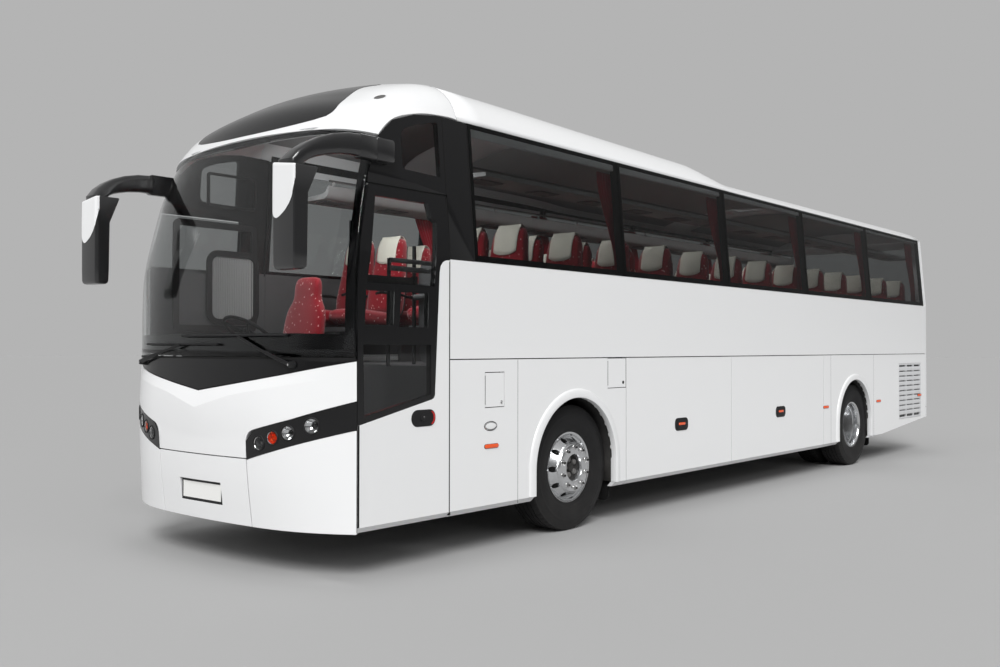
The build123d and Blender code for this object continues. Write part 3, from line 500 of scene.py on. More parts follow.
def smooth_row(stations, value):
    """Smooth reading of a table whose first column is the key."""
    keys = [row[0] for row in stations]
    value = min(max(value, keys[0]), keys[-1])
    spot = 0
    while spot < len(keys) - 2 and value > keys[spot + 1]:
        spot += 1
    step = keys[spot + 1] - keys[spot]
    share = (value - keys[spot]) / step

    def slope(index, column):
        low, high = max(index - 1, 0), min(index + 1, len(keys) - 1)
        return (stations[high][column] - stations[low][column]) / (keys[high] - keys[low])

    row = []
    for column in range(1, len(stations[0])):
        first, second = stations[spot][column], stations[spot + 1][column]
        rise, fall = slope(spot, column) * step, slope(spot + 1, column) * step
        row.append((2 * share ** 3 - 3 * share ** 2 + 1) * first
                   + (share ** 3 - 2 * share ** 2 + share) * rise
                   + (3 * share ** 2 - 2 * share ** 3) * second + (share ** 3 - share ** 2) * fall)
    return row


# -------------------------------------------------------------- body surfaces
# The same stations as the frame's own skins, in metres.
# columns: z, centre x, corner x, corner y
NOSE = [(0.310, 2.708, 2.428, 1.275), (0.683, 2.756, 2.428, 1.275), (1.057, 2.772, 2.428, 1.275),
        (1.430, 2.733, 2.430, 1.275)]
SCREEN = [(1.438, 2.732, 2.433, 1.275), (1.764, 2.694, 2.441, 1.275), (2.090, 2.642, 2.424, 1.275),
          (2.417, 2.568, 2.361, 1.2513), (2.743, 2.478, 2.274, 1.2236), (3.070, 2.362, 2.112, 1.196)]
# columns: angle, foot (y, radius), shoulder (y, radius), top radius
DOME = [(22.2, 1.208, 0.868, 0.850, 1.020, 1.090), (35.0, 1.196, 0.806, 0.850, 0.980, 1.060),
        (50.0, 1.190, 0.700, 0.850, 0.908, 0.990), (70.0, 1.187, 0.607, 0.850, 0.872, 0.945),
        (90.0, 1.187, 0.570, 0.850, 0.880, 0.960)]
DOME_AXIS = (1.390, 2.600)
# columns: x, foot z, shoulder (y, z), top z
ROOF = [(-8.880, 3.125, 0.900, 3.270, 3.365), (-3.250, 3.150, 0.900, 3.289, 3.389),
        (-3.020, 3.151, 0.895, 3.294, 3.396), (-2.700, 3.152, 0.870, 3.355, 3.467),
        (-2.380, 3.153, 0.850, 3.412, 3.532), (-2.150, 3.154, 0.850, 3.419, 3.539),
        (-0.500, 3.161, 0.850, 3.452, 3.573), (0.700, 3.167, 0.850, 3.478, 3.598),
        (1.386, 3.170, 0.850, 3.480, 3.560)]
BOW_SHOULDER_Y = 0.620
SHOULDER_DROP = 0.115


def bow_point(foot, shoulder, top, share):
    """Point of a half bow at a share of its length from the middle, as (across, height)."""
    rise = top - shoulder[1]
    crown_r = (shoulder[0] ** 2 + rise ** 2) / (2 * rise)
    sweep = math.asin(shoulder[0] / crown_r)
    inward = (-math.sin(sweep), -math.cos(sweep))
    reach = (foot[0] - shoulder[0], foot[1] - shoulder[1])
    corner_r = (reach[0] ** 2 + reach[1] ** 2) / (2 * (inward[0] * reach[0] + inward[1] * reach[1]))
    centre = (shoulder[0] + inward[0] * corner_r, shoulder[1] + inward[1] * corner_r)
    end = math.atan2(foot[0] - centre[0], foot[1] - centre[1])
    crown_length = crown_r * sweep
    way = share * (crown_length + corner_r * (end - sweep))
    if way <= crown_length:
        angle = way / crown_r
        return crown_r * math.sin(angle), top - crown_r + crown_r * math.cos(angle)
    angle = sweep + (way - crown_length) / corner_r
    return centre[0] + corner_r * math.sin(angle), centre[1] + corner_r * math.cos(angle)


def level_point(stations, z, t):
    """Point of the nose or the screen at height z. t runs from -1, the right corner, to 1."""
    centre_x, corner_x, corner_y = smooth_row(stations, z)
    shoulder = (BOW_SHOULDER_Y, centre_x - (centre_x - corner_x) * SHOULDER_DROP)
    y, x = bow_point((corner_y, corner_x), shoulder, centre_x, abs(t))
    return (x, math.copysign(y, t), z)


def dome_point(angle, t, lift=0.0):
    foot_y, foot_r, shoulder_y, shoulder_r, top_r = smooth_row(DOME, angle)
    y, r = bow_point((foot_y, foot_r), (shoulder_y, shoulder_r), top_r, abs(t))
    run = math.radians(angle)
    return (DOME_AXIS[0] + (r + lift) * math.cos(run), math.copysign(y, t),
            DOME_AXIS[1] + (r + lift) * math.sin(run))


def roof_point(x, t):
    foot_z, shoulder_y, shoulder_z, top_z = smooth_row(ROOF, x)
    y, z = bow_point((side_y(foot_z), foot_z), (shoulder_y, shoulder_z), top_z, abs(t))
    return (x, math.copysign(y, t), z)


def t_at_y(stations, y, z):
    """The t whose point of the nose or screen lies at y, found by halving."""
    low, high = 0.0, 1.0
    for _ in range(30):
        middle = (low + high) / 2
        if level_point(stations, z, middle)[1] < abs(y):
            low = middle
        else:
            high = middle
    return math.copysign(low, y)


def front_point(y, z, proud=0.0):
    """Point of the nose or screen at y and z, standing proud of it."""
    stations = NOSE if z < NOSE[-1][0] else SCREEN
    x, _, _ = level_point(stations, z, t_at_y(stations, y, z))
    return (x + proud, y, z)


def skin(name, grid, thick, materials, body="coach_body", edge=0.0025, inward=None, crease_row=None):
    """A grid of points as one smooth panel with real thickness and rolled edges."""
    mould = Mould()
    mould.loft(grid, closed=False, capped=False)
    panel = mould.piece(name, materials, body, merge=False)
    if crease_row is not None:
        columns = len(grid[0])
        for line in panel.data.edges:
            if {vertex // columns for vertex in line.vertices} == {crease_row}:
                line.use_edge_sharp = True
    aim = inward or (ahead(0.0), 0.0, 1.8)
    face = panel.data.polygons[len(panel.data.polygons) // 2]
    if face.normal.dot(Vector(aim) - face.center) > 0:
        panel.data.flip_normals()
    thickened(panel, "panel thickness", thick, -1.0)
    if edge:
        rounded(panel, edge)
    return panel


# ------------------------------------------------------------------- the front
# half widths at which the nose's columns stand, close together at the corners
NOSE_COLUMNS = [0.0, 0.12, 0.24, 0.36, 0.48, 0.60, 0.70, 0.80, 0.90, 0.98, 1.06, 1.13, 1.18, 1.22,
                1.245, 1.262, 1.271, 1.275]
BLACK_PANEL_EDGE = [(0.0, 1.2145), (0.35, 1.2632), (0.60, 1.2998), (0.833, 1.3372), (1.275, 1.4255)]
BEAK_EDGE = [(0.0, 1.095), (0.35, 1.185), (0.833, 1.262), (1.275, 1.330)]
LAMP_BAND_TOP = [(0.529, 0.885), (0.540, 0.918), (0.560, 0.942), (0.590, 0.957), (0.640, 0.970),
                 (0.891, 1.035), (1.275, 1.158)]
LAMP_BAND_LOW = [(0.529, 0.770), (0.89, 0.875), (1.275, 0.985)]
BUMPER_TOP_Z = 0.770
BUMPER_JOINT_Y = 0.525
JOINT = 0.008
NOSE_FOOT_Z = 0.310
NOSE_HEAD_Z = 1.436
NOSE_THICK = 0.030


def nose_columns(low, high):
    """Columns across the nose from low to high, either of them negative for the right."""
    whole = sorted({-y for y in NOSE_COLUMNS} | set(NOSE_COLUMNS))
    return [low] + [y for y in whole if low + 0.01 < y < high - 0.01] + [high]


BEAK_PROUD = 0.022


def beak_swell(y, share_to_crease):
    """How far the white mask stands out on its way to the V-shaped crease."""
    return BEAK_PROUD * max(0.0, 1 - (abs(y) / 1.10) ** 1.5) * share_to_crease


def nose_panel(name, columns, low_edge, high_edge, rows, material, body="coach_body", edge=0.0025):
    grid = []
    for k in range(rows + 1):
        row = []
        for y in columns:
            low, high = low_edge(abs(y)), high_edge(abs(y))
            row.append(front_point(y, low + (high - low) * k / rows))
        grid.append(row)
    return skin(name, grid, NOSE_THICK, [material], body, edge)


def make_mask():
    """White mask under the black panel. Its upper and lower faces meet in a V-shaped crease."""
    columns = nose_columns(-1.275, 1.275)
    extra = [BUMPER_JOINT_Y - 0.002, BUMPER_JOINT_Y + 0.002, 0.540, 0.560, 0.590, 0.640]
    columns = sorted(columns + extra + [-y for y in extra])
    grid = []
    below, above = 12, 4
    for k in range(below + above + 1):
        row = []
        for y in columns:
            low = BUMPER_TOP_Z + JOINT / 2
            if abs(y) > BUMPER_JOINT_Y:
                low = between(LAMP_BAND_TOP, abs(y)) + JOINT
            high = between(BLACK_PANEL_EDGE, abs(y)) - JOINT / 2
            crease = min(between(BEAK_EDGE, abs(y)), high - 0.01)
            if k <= below:
                share = k / below
                z = low + (crease - low) * share
                rise = (z - BUMPER_TOP_Z) / (crease - BUMPER_TOP_Z)
                swell = beak_swell(y, max(0.0, rise * 1.5 - 0.5))
            else:
                share = (k - below) / above
                z = crease + (high - crease) * share
                swell = beak_swell(y, 1 - share)
            x, _, _ = front_point(y, z)
            row.append((x + swell, y, z))
        grid.append(row)
    mask = skin("nose_mask_skin", grid, NOSE_THICK, [WHITE], crease_row=below)
    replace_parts(mask, "nose_mask")


def make_nose():
    full = nose_columns(-1.275, 1.275)
    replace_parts(nose_panel("nose_black_panel_skin", full, lambda y: between(BLACK_PANEL_EDGE, y) + JOINT / 2,
                           lambda y: NOSE_HEAD_Z, 5, BLACK), "nose_black_panel")

    make_mask()
    flap_half = BUMPER_JOINT_Y - JOINT / 2
    flap = nose_panel("bumper_flap_skin", nose_columns(-flap_half, flap_half), lambda y: NOSE_FOOT_Z,
                      lambda y: BUMPER_TOP_Z - JOINT / 2, 8, WHITE, "bumper_flap", edge=0)
    rounded(carve_plate_recess(flap), 0.0025)
    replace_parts(flap, "bumper_flap")
    corners, bands = [], []
    for side, name in HANDS:
        inner = BUMPER_JOINT_Y + JOINT / 2
        columns = nose_columns(inner, 1.275)
        if side < 0:
            columns = [-y for y in reversed(columns)]
        corners.append(nose_panel("bumper_corner_" + name, columns, lambda y: NOSE_FOOT_Z,
                                  lambda y: between(LAMP_BAND_LOW, y) - JOINT, 8, WHITE))
        band = nose_panel("lamp_band_" + name, columns, lambda y: between(LAMP_BAND_LOW, y) - JOINT / 2,
                          lambda y: between(LAMP_BAND_TOP, y) + JOINT / 2, 4, BLACK, edge=0)
        bands.append(rounded(carve_lamp_holes(band, side), 0.0015))
    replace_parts(corners[0], "bumper_corners")
    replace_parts(bands[0], "lamp_bands")


# height of the screen's top edge by half width
SCREEN_TOP = [(0.0, 3.022), (0.374, 3.028), (0.801, 3.018), (0.914, 3.005), (1.025, 2.980), (1.196, 2.916)]
SCREEN_FOOT_Z = 1.438
SCREEN_T = [0.0, 0.1, 0.2, 0.3, 0.4, 0.5, 0.58, 0.66, 0.73, 0.79, 0.84, 0.88, 0.91, 0.935, 0.955, 0.97,
            0.985, 1.0]


def screen_top_at(t):
    y = level_point(SCREEN, 3.0, t)[1]
    return between(SCREEN_TOP, abs(y))


def screen_point(t, share, back=0.0):
    z = SCREEN_FOOT_Z + (screen_top_at(t) - SCREEN_FOOT_Z) * share
    x, y, _ = level_point(SCREEN, z, t)
    near = level_point(SCREEN, z, t - 0.01)
    far = level_point(SCREEN, z, t + 0.01) if t < 0.985 else (x, y, z)
    run = Vector(far) - Vector(near)
    inward = Vector((-run.y, run.x, 0.0)).normalized()
    if inward.x > 0:
        inward = -inward
    return (x + inward.x * back, y + inward.y * back, z)


def both_t(values):
    return sorted({-t for t in values} | set(values))


def make_screen():
    rows = 24
    ts = both_t(SCREEN_T)
    grid = [[screen_point(t, k / rows) for t in ts] for k in range(rows + 1)]
    pane = skin("windscreen_glass", grid, 0.008, [CLEAR_GLASS], edge=0)
    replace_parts(pane, "windscreen")
    back = 0.0095
    side = [0.945, 0.955, 0.97, 0.985, 1.0]
    strips = []
    foot = [k * 0.105 / 4 for k in range(5)]
    top = [1 - k * 0.035 / 2 for k in range(3)]
    strips.append([[screen_point(t, share, back) for t in ts] for share in foot])
    strips.append([[screen_point(t, share, back) for t in ts] for share in top])
    for sign in (1, -1):
        strips.append([[screen_point(sign * t, k / rows, back) for t in side] for k in range(rows + 1)])
    mould = Mould()
    for grid in strips:
        mould.loft(grid, closed=False, capped=False)
    mould.piece("windscreen_border", [FRIT], merge=False)


# ------------------------------------------------------------------- the roof
DOME_FOOT_ANGLE = 22.9
DOME_T = [k / 16 for k in range(17)]
# the black cap: share of the way from its front edge to its rear edge, half width as t
CAP_WIDTH = [(0.0, 0.545), (0.015, 0.590), (0.04, 0.622), (0.08, 0.642), (0.13, 0.645), (0.30, 0.606),
             (0.49, 0.550), (0.66, 0.500), (0.77, 0.474), (0.85, 0.470), (0.93, 0.480), (1.0, 0.470)]
CAP_FRONT_ANGLE = 24.7
CAP_REAR_ANGLE = 79.0
CAP_PROUD = 0.0025


def make_dome():
    ts = both_t(DOME_T)
    angles = [DOME_FOOT_ANGLE + (90 - DOME_FOOT_ANGLE) * k / 24 for k in range(25)]
    grid = [[dome_point(angle, t) for t in ts] for angle in angles]
    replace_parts(skin("roof_dome_skin", grid, 0.038, [WHITE]), "roof_dome")
    rows, half = 26, 12
    grid = []
    for k in range(rows + 1):
        share = k / rows
        row = []
        for j in range(-half, half + 1):
            across = j / half
            bend = abs(across) ** 3
            front = CAP_FRONT_ANGLE + 3.6 * abs(across) ** 2.4
            rear = CAP_REAR_ANGLE - 3.0 * bend
            row.append(dome_point(front + (rear - front) * share, across * between(CAP_WIDTH, share),
                                  CAP_PROUD))
        grid.append(row)
    cap = skin("roof_cap_skin", grid, 0.012, [BLACK], edge=0.0015)
    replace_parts(cap, "roof_cap")
    for side, name in HANDS:
        make_dome_fitting(side, name)


def make_dome_fitting(side, name):
    """Small oval hollow with a raised rim beside the cap."""
    angle, t = 49.7, 0.78 * side
    place = Vector(dome_point(angle, t))
    along = (Vector(dome_point(angle + 1, t)) - Vector(dome_point(angle - 1, t))).normalized()
    across = (Vector(dome_point(angle, t + 0.02)) - Vector(dome_point(angle, t - 0.02))).normalized()
    up = along.cross(across)
    if up.z < 0:
        up = -up
    mould = Mould()
    rings = []
    half_long, half_wide = 0.055, 0.030
    for reach, rise in ((1.10, -0.002), (1.06, 0.002), (1.00, 0.0035), (0.92, 0.002), (0.80, 0.0006),
                        (0.45, 0.0004)):
        rings.append([tuple(place + along * (half_long * reach * math.cos(a))
                            + across * (half_wide * reach * math.sin(a)) + up * rise) for a in turns(32)])
    mould.loft(rings[:4], capped=False, finish=0)
    mould.loft(rings[3:], finish=1)
    mould.piece("dome_fitting_" + name, [WHITE, CASTING])


HATCH_ROWS = {"front": -0.600, "rear": -5.600}
HATCH_HALF = 0.265


def make_roof():
    ts = both_t([0.0, 0.06, 0.14, 0.186, 0.26, 0.34, 0.42, 0.50, 0.58, 0.64, 0.69, 0.74, 0.79, 0.84,
                 0.89, 0.94, 0.97, 1.0])
    xs = [-8.880 + k * 0.25 for k in range(22)]
    xs += [-3.40, -3.25, -3.10, -2.95, -2.80, -2.65, -2.50, -2.35, -2.20, -2.05]
    xs += [-1.8, -1.5, -1.2, -0.1, 0.2, 0.5, 0.8, 1.1, 1.386]
    for x in HATCH_ROWS.values():
        xs = [value for value in xs if abs(value - x) > HATCH_HALF + 0.02]
        xs += [x - HATCH_HALF, x, x + HATCH_HALF]
    xs.sort()
    mould = Mould()
    mould.add([roof_point(x, t) for x in xs for t in ts], [])
    count = len(ts)
    faces = []
    for row in range(len(xs) - 1):
        middle_x = (xs[row] + xs[row + 1]) / 2
        over_hatch = any(abs(middle_x - x) < HATCH_HALF for x in HATCH_ROWS.values())
        for k in range(count - 1):
            if over_hatch and abs(ts[k] + ts[k + 1]) / 2 < 0.186:
                continue
            faces.append([row * count + k, row * count + k + 1, (row + 1) * count + k + 1,
                          (row + 1) * count + k])
    mould.faces = faces
    mould.finishes = [0] * len(faces)
    roof = mould.piece("roof_skin", [WHITE], merge=False)
    thickened(roof, "roof thickness", 0.042, -1.0 if roof.data.polygons[0].normal.z > 0 else 1.0)
    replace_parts(roof, "roof")


# ---------------------------------------------------------------- side glazing
PANE_JOINTS = [1.290, -0.696, -2.652, -4.603, -6.645, -8.800]
GLASS_THICK = 0.010
BORDER = 0.048
PANE_FOOT_Z = BELT_Z + 0.003


def pane_head_z(x):
    """Top edge of the glazing along the coach."""
    return 3.125 + (x + 8.880) * 0.045 / 10.266 - 0.006


def wall_point(x, z, inset=0.0):
    return (x, side_y(z) - inset, z)


def make_window_borders():
    """Black printed borders on the inside of every side pane, and the seal between panes."""
    mould = Mould()
    back = GLASS_THICK + 0.0012
    for front, rear in zip(PANE_JOINTS, PANE_JOINTS[1:]):
        x0, x1 = rear + 0.004, front - 0.004
        outer = [(x0, PANE_FOOT_Z), (x1, PANE_FOOT_Z), (x1, pane_head_z(x1)), (x0, pane_head_z(x0))]
        inner = [(x0 + BORDER, PANE_FOOT_Z + BORDER), (x1 - BORDER, PANE_FOOT_Z + BORDER),
                 (x1 - BORDER, pane_head_z(x1) - BORDER * 0.7), (x0 + BORDER, pane_head_z(x0) - BORDER * 0.7)]
        mould.loft([[wall_point(x, z, back) for x, z in outer],
                    [wall_point(x, z, back) for x, z in inner]], capped=False)
        # the lining that covers the wall's own frame from inside
        lining = 0.045
        lined = [wall_point(x, z + 0.035, lining + 0.013) if z > 3 else wall_point(x, z, lining)
                 for x, z in outer]
        mould.loft([lined, [wall_point(x, z, lining) for x, z in inner]], capped=False)
        mould.loft([[wall_point(x, z, back) for x, z in inner],
                    [wall_point(x, z, lining) for x, z in inner]], capped=False)
    for joint in PANE_JOINTS[1:-1]:
        mould.loft([[wall_point(joint + dx, PANE_FOOT_Z, inset) for dx, inset in
                     ((-0.004, 0.004), (0.004, 0.004), (0.004, 0.03), (-0.004, 0.03))],
                    [wall_point(joint + dx, pane_head_z(joint), inset) for dx, inset in
                     ((-0.004, 0.004), (0.004, 0.004), (0.004, 0.03), (-0.004, 0.03))]])
    mould.mirrored()
    mould.piece("window_borders", [FRIT], merge=False, smooth=False)


# --------------------------------------------------------------------- the door
DOOR_REAR_X = 1.557
DOOR_FRONT_X = 2.421
DOOR_FOOT_Z = 0.312
# the white skin's edge against the black glass, from front to rear, as (x, z)
DOOR_WHITE_EDGE = [(2.421, 1.006), (1.735, 1.152), (1.717, 1.160), (1.705, 1.180), (1.660, 2.040),
                   (1.650, 2.085), (1.628, 2.112), (1.600, 2.126), (1.557, 2.131)]


def make_door_skin():
    outline = [(DOOR_REAR_X, DOOR_FOOT_Z), (DOOR_FRONT_X, DOOR_FOOT_Z)] + DOOR_WHITE_EDGE
    foot_y = side_y(DOOR_FOOT_Z) - 0.038
    mould = Mould()
    face = [(x, HALF_WIDTH if z > 0.35 else foot_y, z) for x, z in outline]
    knee = [(DOOR_REAR_X, HALF_WIDTH, 0.350), (DOOR_FRONT_X, HALF_WIDTH, 0.350)]
    mould.plate([face[0], face[1], knee[1], knee[0]], (0, 0.0018, 0))
    mould.plate([knee[0], knee[1]] + face[2:], (0, 0.0018, 0))
    rounded(mould.piece("door_white_skin", [WHITE], "door", smooth=False), 0.0008, 1)


# joints of the quarter panels: rear x, front x, foot z, depth, sides
QUARTER_JOINTS = [(1.5485, 1.5545, 2.600, 0.012, (1,)), (1.5485, 1.5545, 2.140, 0.012, (-1,)),
                  (1.2845, 1.2955, 2.139, 0.055, (1, -1))]
# joint lines on the sides that are too fine to be gaps: x, foot z, head z
FINE_JOINTS = [(0.790, 0.325, 1.420), (-5.284, 0.345, 1.420), (-6.730, 0.350, 1.420)]


def front_strip(y, low, high, proud, sunk):
    """Section of a strip across the front at y, between two heights."""
    return [front_point(y, low, proud), front_point(y, high, proud),
            front_point(y, high, sunk), front_point(y, low, sunk)]


def make_seals():
    """Black seals in the joints round the door and the flaps."""
    mould = Mould()
    for x0, x1, top in ((1.5445, 1.5565, 2.58), (2.4215, 2.4285, 1.43)):
        mould.box((x0, 1.235, 0.325), (x1, 1.2735, 1.427 if top > 2 else top))
        if top > 2:
            mould.loft([[(x0, 1.235, 1.427), (x1, 1.235, 1.427), (x1, 1.2735, 1.427), (x0, 1.2735, 1.427)],
                        [(x0, 1.235, BELT_Z), (x1, 1.235, BELT_Z), (x1, 1.2735, BELT_Z),
                         (x0, 1.2735, BELT_Z)],
                        [(x0, 1.20, top), (x1, 1.20, top), (x1, side_y(top) - 0.0015, top),
                         (x0, side_y(top) - 0.0015, top)]])
    for x in (-0.720, -2.690, -5.055):
        mould.box((x - 0.003, 1.240, 0.36), (x + 0.003, 1.2715, 1.420))
    mould.box((-8.850, 1.240, CREASE_Z - 0.003), (1.540, 1.2700, CREASE_Z + 0.003))
    mould.mirrored()
    mould.piece("panel_seals", [RUBBER], smooth=False)
    door = Mould()
    for x0, x1, head in ((1.5572, 1.5632, 2.120), (2.4060, 2.4208, 1.008)):
        door.box((x0, 1.268, 0.352), (x1, 1.2776, head))
    door.piece("door_seal_lips", [RUBBER], "door", smooth=False)
    strips = Mould()
    whole = nose_columns(-1.270, 1.270)
    strips.loft([front_strip(y, 1.4325, 1.4470, 0.0012, -0.0038) for y in whole])
    edge = [(y, between(BLACK_PANEL_EDGE, abs(y))) for y in whole]
    strips.loft([front_strip(y, z - 0.014, z + 0.014, -0.010, -0.016) for y, z in edge])
    strips.loft([front_strip(y, BUMPER_TOP_Z, BUMPER_TOP_Z + 0.014, -0.006, -0.012)
                 for y in nose_columns(-0.540, 0.540)])
    for side in (1, -1):
        joint_y = side * (BUMPER_JOINT_Y + 0.004)
        section = [(joint_y + side * step, depth) for step, depth in
                   ((-0.004, -0.006), (0.012, -0.006), (0.012, -0.012), (-0.004, -0.012))]
        strips.loft([[front_point(y, z, depth) for y, depth in section] for z in (0.34, 0.5525, 0.765)])
    head_z = 2.588
    strips.loft([[(x, side_y(z) - inset, z) for z, inset in
                  ((head_z - 0.010, 0.006), (head_z + 0.010, 0.006), (head_z + 0.010, 0.014),
                   (head_z - 0.010, 0.014))] for x in (1.300, 2.290)])
    strips.piece("joint_strips", [RUBBER], smooth=False)
    lines = Mould()
    for x, low, high in FINE_JOINTS:
        lines.box((x - 0.0022, 1.2740, low), (x + 0.0022, 1.2753, high))
    lines.mirrored()
    lines.piece("fine_joints", [JOINT_SHADE], smooth=False)
    upper = Mould()
    for rear, front, foot, depth, sides in QUARTER_JOINTS:
        for side in sides:
            upper.loft([[(x, side * (side_y(z) + rise), z) for x, rise in
                         ((rear, -depth), (rear, 0.0008), (front, 0.0008), (front, -depth))]
                        for z in (foot, (foot + 3.150) / 2, 3.150)])
    upper.piece("quarter_joints", [RUBBER], smooth=False)
    rear = Mould()
    rings = []
    for t in both_t(DOME_T):
        near, far = dome_point(89.80, t, 0.0006), dome_point(90, t, 0.0006)
        rings.append([near, far, dome_point(90, t, -0.004), dome_point(89.80, t, -0.004)])
    rear.loft(rings)
    rear.piece("dome_joint", [JOINT_SHADE])


# small fixed window in each quarter panel: x, z round its edge
QUARTER_PANE = [(1.600, 2.720), (1.950, 2.730), (1.970, 2.755), (1.975, 2.800), (1.971, 2.977),
                (1.945, 3.010), (1.900, 3.030), (1.826, 3.061), (1.620, 3.111), (1.603, 3.100)]


def make_quarter_panes():
    """The quarter panels with a small window let into each, and its glass."""
    panel = from_node("quarter_panel_skins", "quarter_panels")
    openings, panes = Mould(), Mould()
    for side in (1, -1):
        openings.loft([[(x, side * y, z) for x, z in QUARTER_PANE] for y in (1.10, 1.32)])
        panes.loft([[(x, side * (side_y(z) - inset), z) for x, z in QUARTER_PANE]
                    for inset in (0.0035, 0.0075)])
    carved(panel, openings.piece("quarter_openings", [], smooth=False))
    panel.data.materials.clear()
    panel.data.materials.append(BLACK)
    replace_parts(panel, "quarter_panels")
    panes.piece("quarter_panes", [TINT_GLASS], smooth=False)


# wheel arches: x, z of the middle, inner radius of the lip
ARCHES = [(0.018, 0.543, 0.562), (-6.065, 0.565, 0.545)]
# section of the lip: out from the arch's edge, rise from the side
LIP_SECTION = [(-0.004, -0.030), (-0.0045, 0.012), (-0.002, 0.0165), (0.008, 0.0185), (0.022, 0.0182),
               (0.038, 0.0165), (0.052, 0.0140), (0.061, 0.0112), (0.070, 0.0020), (0.071, -0.002)]


def make_arch_lips():
    """Rolled lips that swell softly out of the side and run down to the skirt's foot."""
    mould = Mould()
    liner = Mould()
    for x, z, r in ARCHES:
        rings = []
        stops = [(0.0, -1.0)] + [(k / 48, 0.0) for k in range(49)] + [(1.0, -1.0)]
        for share, drop in stops:
            angle = math.pi * share
            ring = []
            for out, rise in LIP_SECTION:
                along, up = (r + out) * math.cos(angle), (r + out) * math.sin(angle)
                height = z + up if drop == 0.0 else 0.352
                ring.append((x + along, HALF_WIDTH + rise, height))
            rings.append(ring)
        mould.loft(rings, closed=False, capped=False)
        rings = []
        for share, drop in stops:
            angle = math.pi * share
            height = z + (r + 0.002) * math.sin(angle) if drop == 0.0 else 0.352
            rings.append([(x + (r + 0.002) * math.cos(angle), y, height) for y in (1.272, 1.10, 0.80)])
        liner.loft(rings, closed=False, capped=False)
    mould.mirrored()
    liner.mirrored()
    mould.piece("arch_lips", [WHITE])
    thickened(liner.piece("arch_liners", [CHASSIS]), "liner thickness", 0.003)


def carved(piece, cutter):
    """The piece with the cutter's shape taken out of it, for good."""
    cut = piece.modifiers.new("cut", "BOOLEAN")
    cut.operation = "DIFFERENCE"
    cut.solver = "EXACT"
    cut.object = cutter
    bpy.context.view_layer.update()
    mesh = worked_in(piece)
    piece.modifiers.clear()
    piece.data = mesh
    mesh.set_sharp_from_angle(angle=SHARP_ANGLE)
    bpy.data.objects.remove(cutter)
    return piece


def from_node(name, source, body="coach_body"):
    """A piece of its own with the shape of a node."""
    piece = placed(name, nodes[source].data.copy())
    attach(piece, body)
    return piece


def rounded_rectangle(x, z, half_x, half_z, corner, y, steps=5):
    """Outline in the side's plane, as points at y."""
    ring = []
    for centre_x, centre_z, start in ((half_x - corner, half_z - corner, 0),
                                      (-half_x + corner, half_z - corner, 90),
                                      (-half_x + corner, -half_z + corner, 180),
                                      (half_x - corner, -half_z + corner, 270)):
        for k in range(steps + 1):
            angle = math.radians(start + 90 * k / steps)
            ring.append((x + centre_x + corner * math.cos(angle), y,
                         z + centre_z + corner * math.sin(angle)))
    return ring


# ------------------------------------------------------------------ front lamps
# columns: y, z, radius, kind of unit
LAMP_UNITS = [(0.648, 0.880, 0.052, "dark"), (0.761, 0.920, 0.050, "indicator"),
              (0.878, 0.955, 0.052, "main"), (1.033, 1.005, 0.056, "side")]


def lamp_face_x(y, z):
    return front_point(abs(y), z)[0]


def lamp_axis(y, z, side=1):
    """Straight out of the lamp band at y and z."""
    fall = lamp_face_x(abs(y) + 0.01, z) - lamp_face_x(abs(y) - 0.01, z)
    return Vector((0.02, -side * fall, 0.0)).normalized()


def bore(low, high, radius):
    """Profile of a drill for carving, from low to high along its axis."""
    return [(low, 0.0005), (low, radius), (high, radius), (high, 0.0005)]


def carve_lamp_holes(band, side):
    mould = Mould()
    for y, z, r, _ in LAMP_UNITS:
        mould.turned(bore(-0.12, 0.12, r + 0.003), (lamp_face_x(y, z), side * y, z),
                     lamp_axis(y, z, side), 40)
    return carved(band, mould.piece("lamp_holes", [], smooth=False))


def make_lamps():
    """Four round units a side: black bezel, bright ring, bowl and lens."""
    housings, lenses = Mould(), Mould()
    for y, z, r, kind in LAMP_UNITS:
        place, axis = (lamp_face_x(y, z), y, z), lamp_axis(y, z)
        housings.turned([(0.001, r + 0.002), (0.004, r - 0.002), (0.003, r - 0.006), (-0.006, r - 0.008),
                         (-0.030, r - 0.006), (-0.030, r + 0.002)], place, axis, 40, finish=2)
        housings.turned([(-0.004, r - 0.0075), (-0.001, r - 0.010), (-0.004, r - 0.0125), (-0.012, r - 0.012),
                         (-0.012, r - 0.0075)], place, axis, 40, finish=0)
        bowl = [(-0.040 + 0.028 * (k / 6) ** 2, (r - 0.0115) * k / 6) for k in range(7)]
        bowl = bowl + [(a - 0.003, radius) for a, radius in reversed(bowl)]
        bowl_finish = {"dark": 2, "indicator": 3, "main": 0, "side": 0}[kind]
        housings.turned(bowl, place, axis, 40, finish=bowl_finish)
        if kind == "indicator":
            core = [(-0.040, 0.0), (-0.012, 0.0), (-0.014, 0.012), (-0.022, 0.020), (-0.040, 0.022)]
            housings.turned(core, place, axis, 28, finish=3)
        else:
            bulb = [(-0.042, 0.0), (-0.024, 0.0), (-0.022, 0.006), (-0.028, 0.011), (-0.042, 0.012)]
            housings.turned(bulb, place, axis, 20, finish=1 if kind == "dark" else 2)
        dome = [(-0.006 + 0.008 * (1 - (k / 6) ** 2), (r - 0.0115) * k / 6) for k in range(7)]
        dome = dome + [(a - 0.003, radius) for a, radius in reversed(dome)]
        lenses.turned(dome, place, axis, 40, finish=1 if kind == "indicator" else 0)
    housings.mirrored()
    lenses.mirrored()
    made = housings.piece("lamp_housings", [CHROME, CASTING, PLASTIC, ORANGE])
    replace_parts(made, "headlamps")
    lenses.piece("lamp_lenses", [LAMP_CLEAR, AMBER_GLASS])


# ------------------------------------------------------------- fittings in front
PLATE_Y = (-0.235, 0.220)
PLATE_Z = (0.450, 0.565)


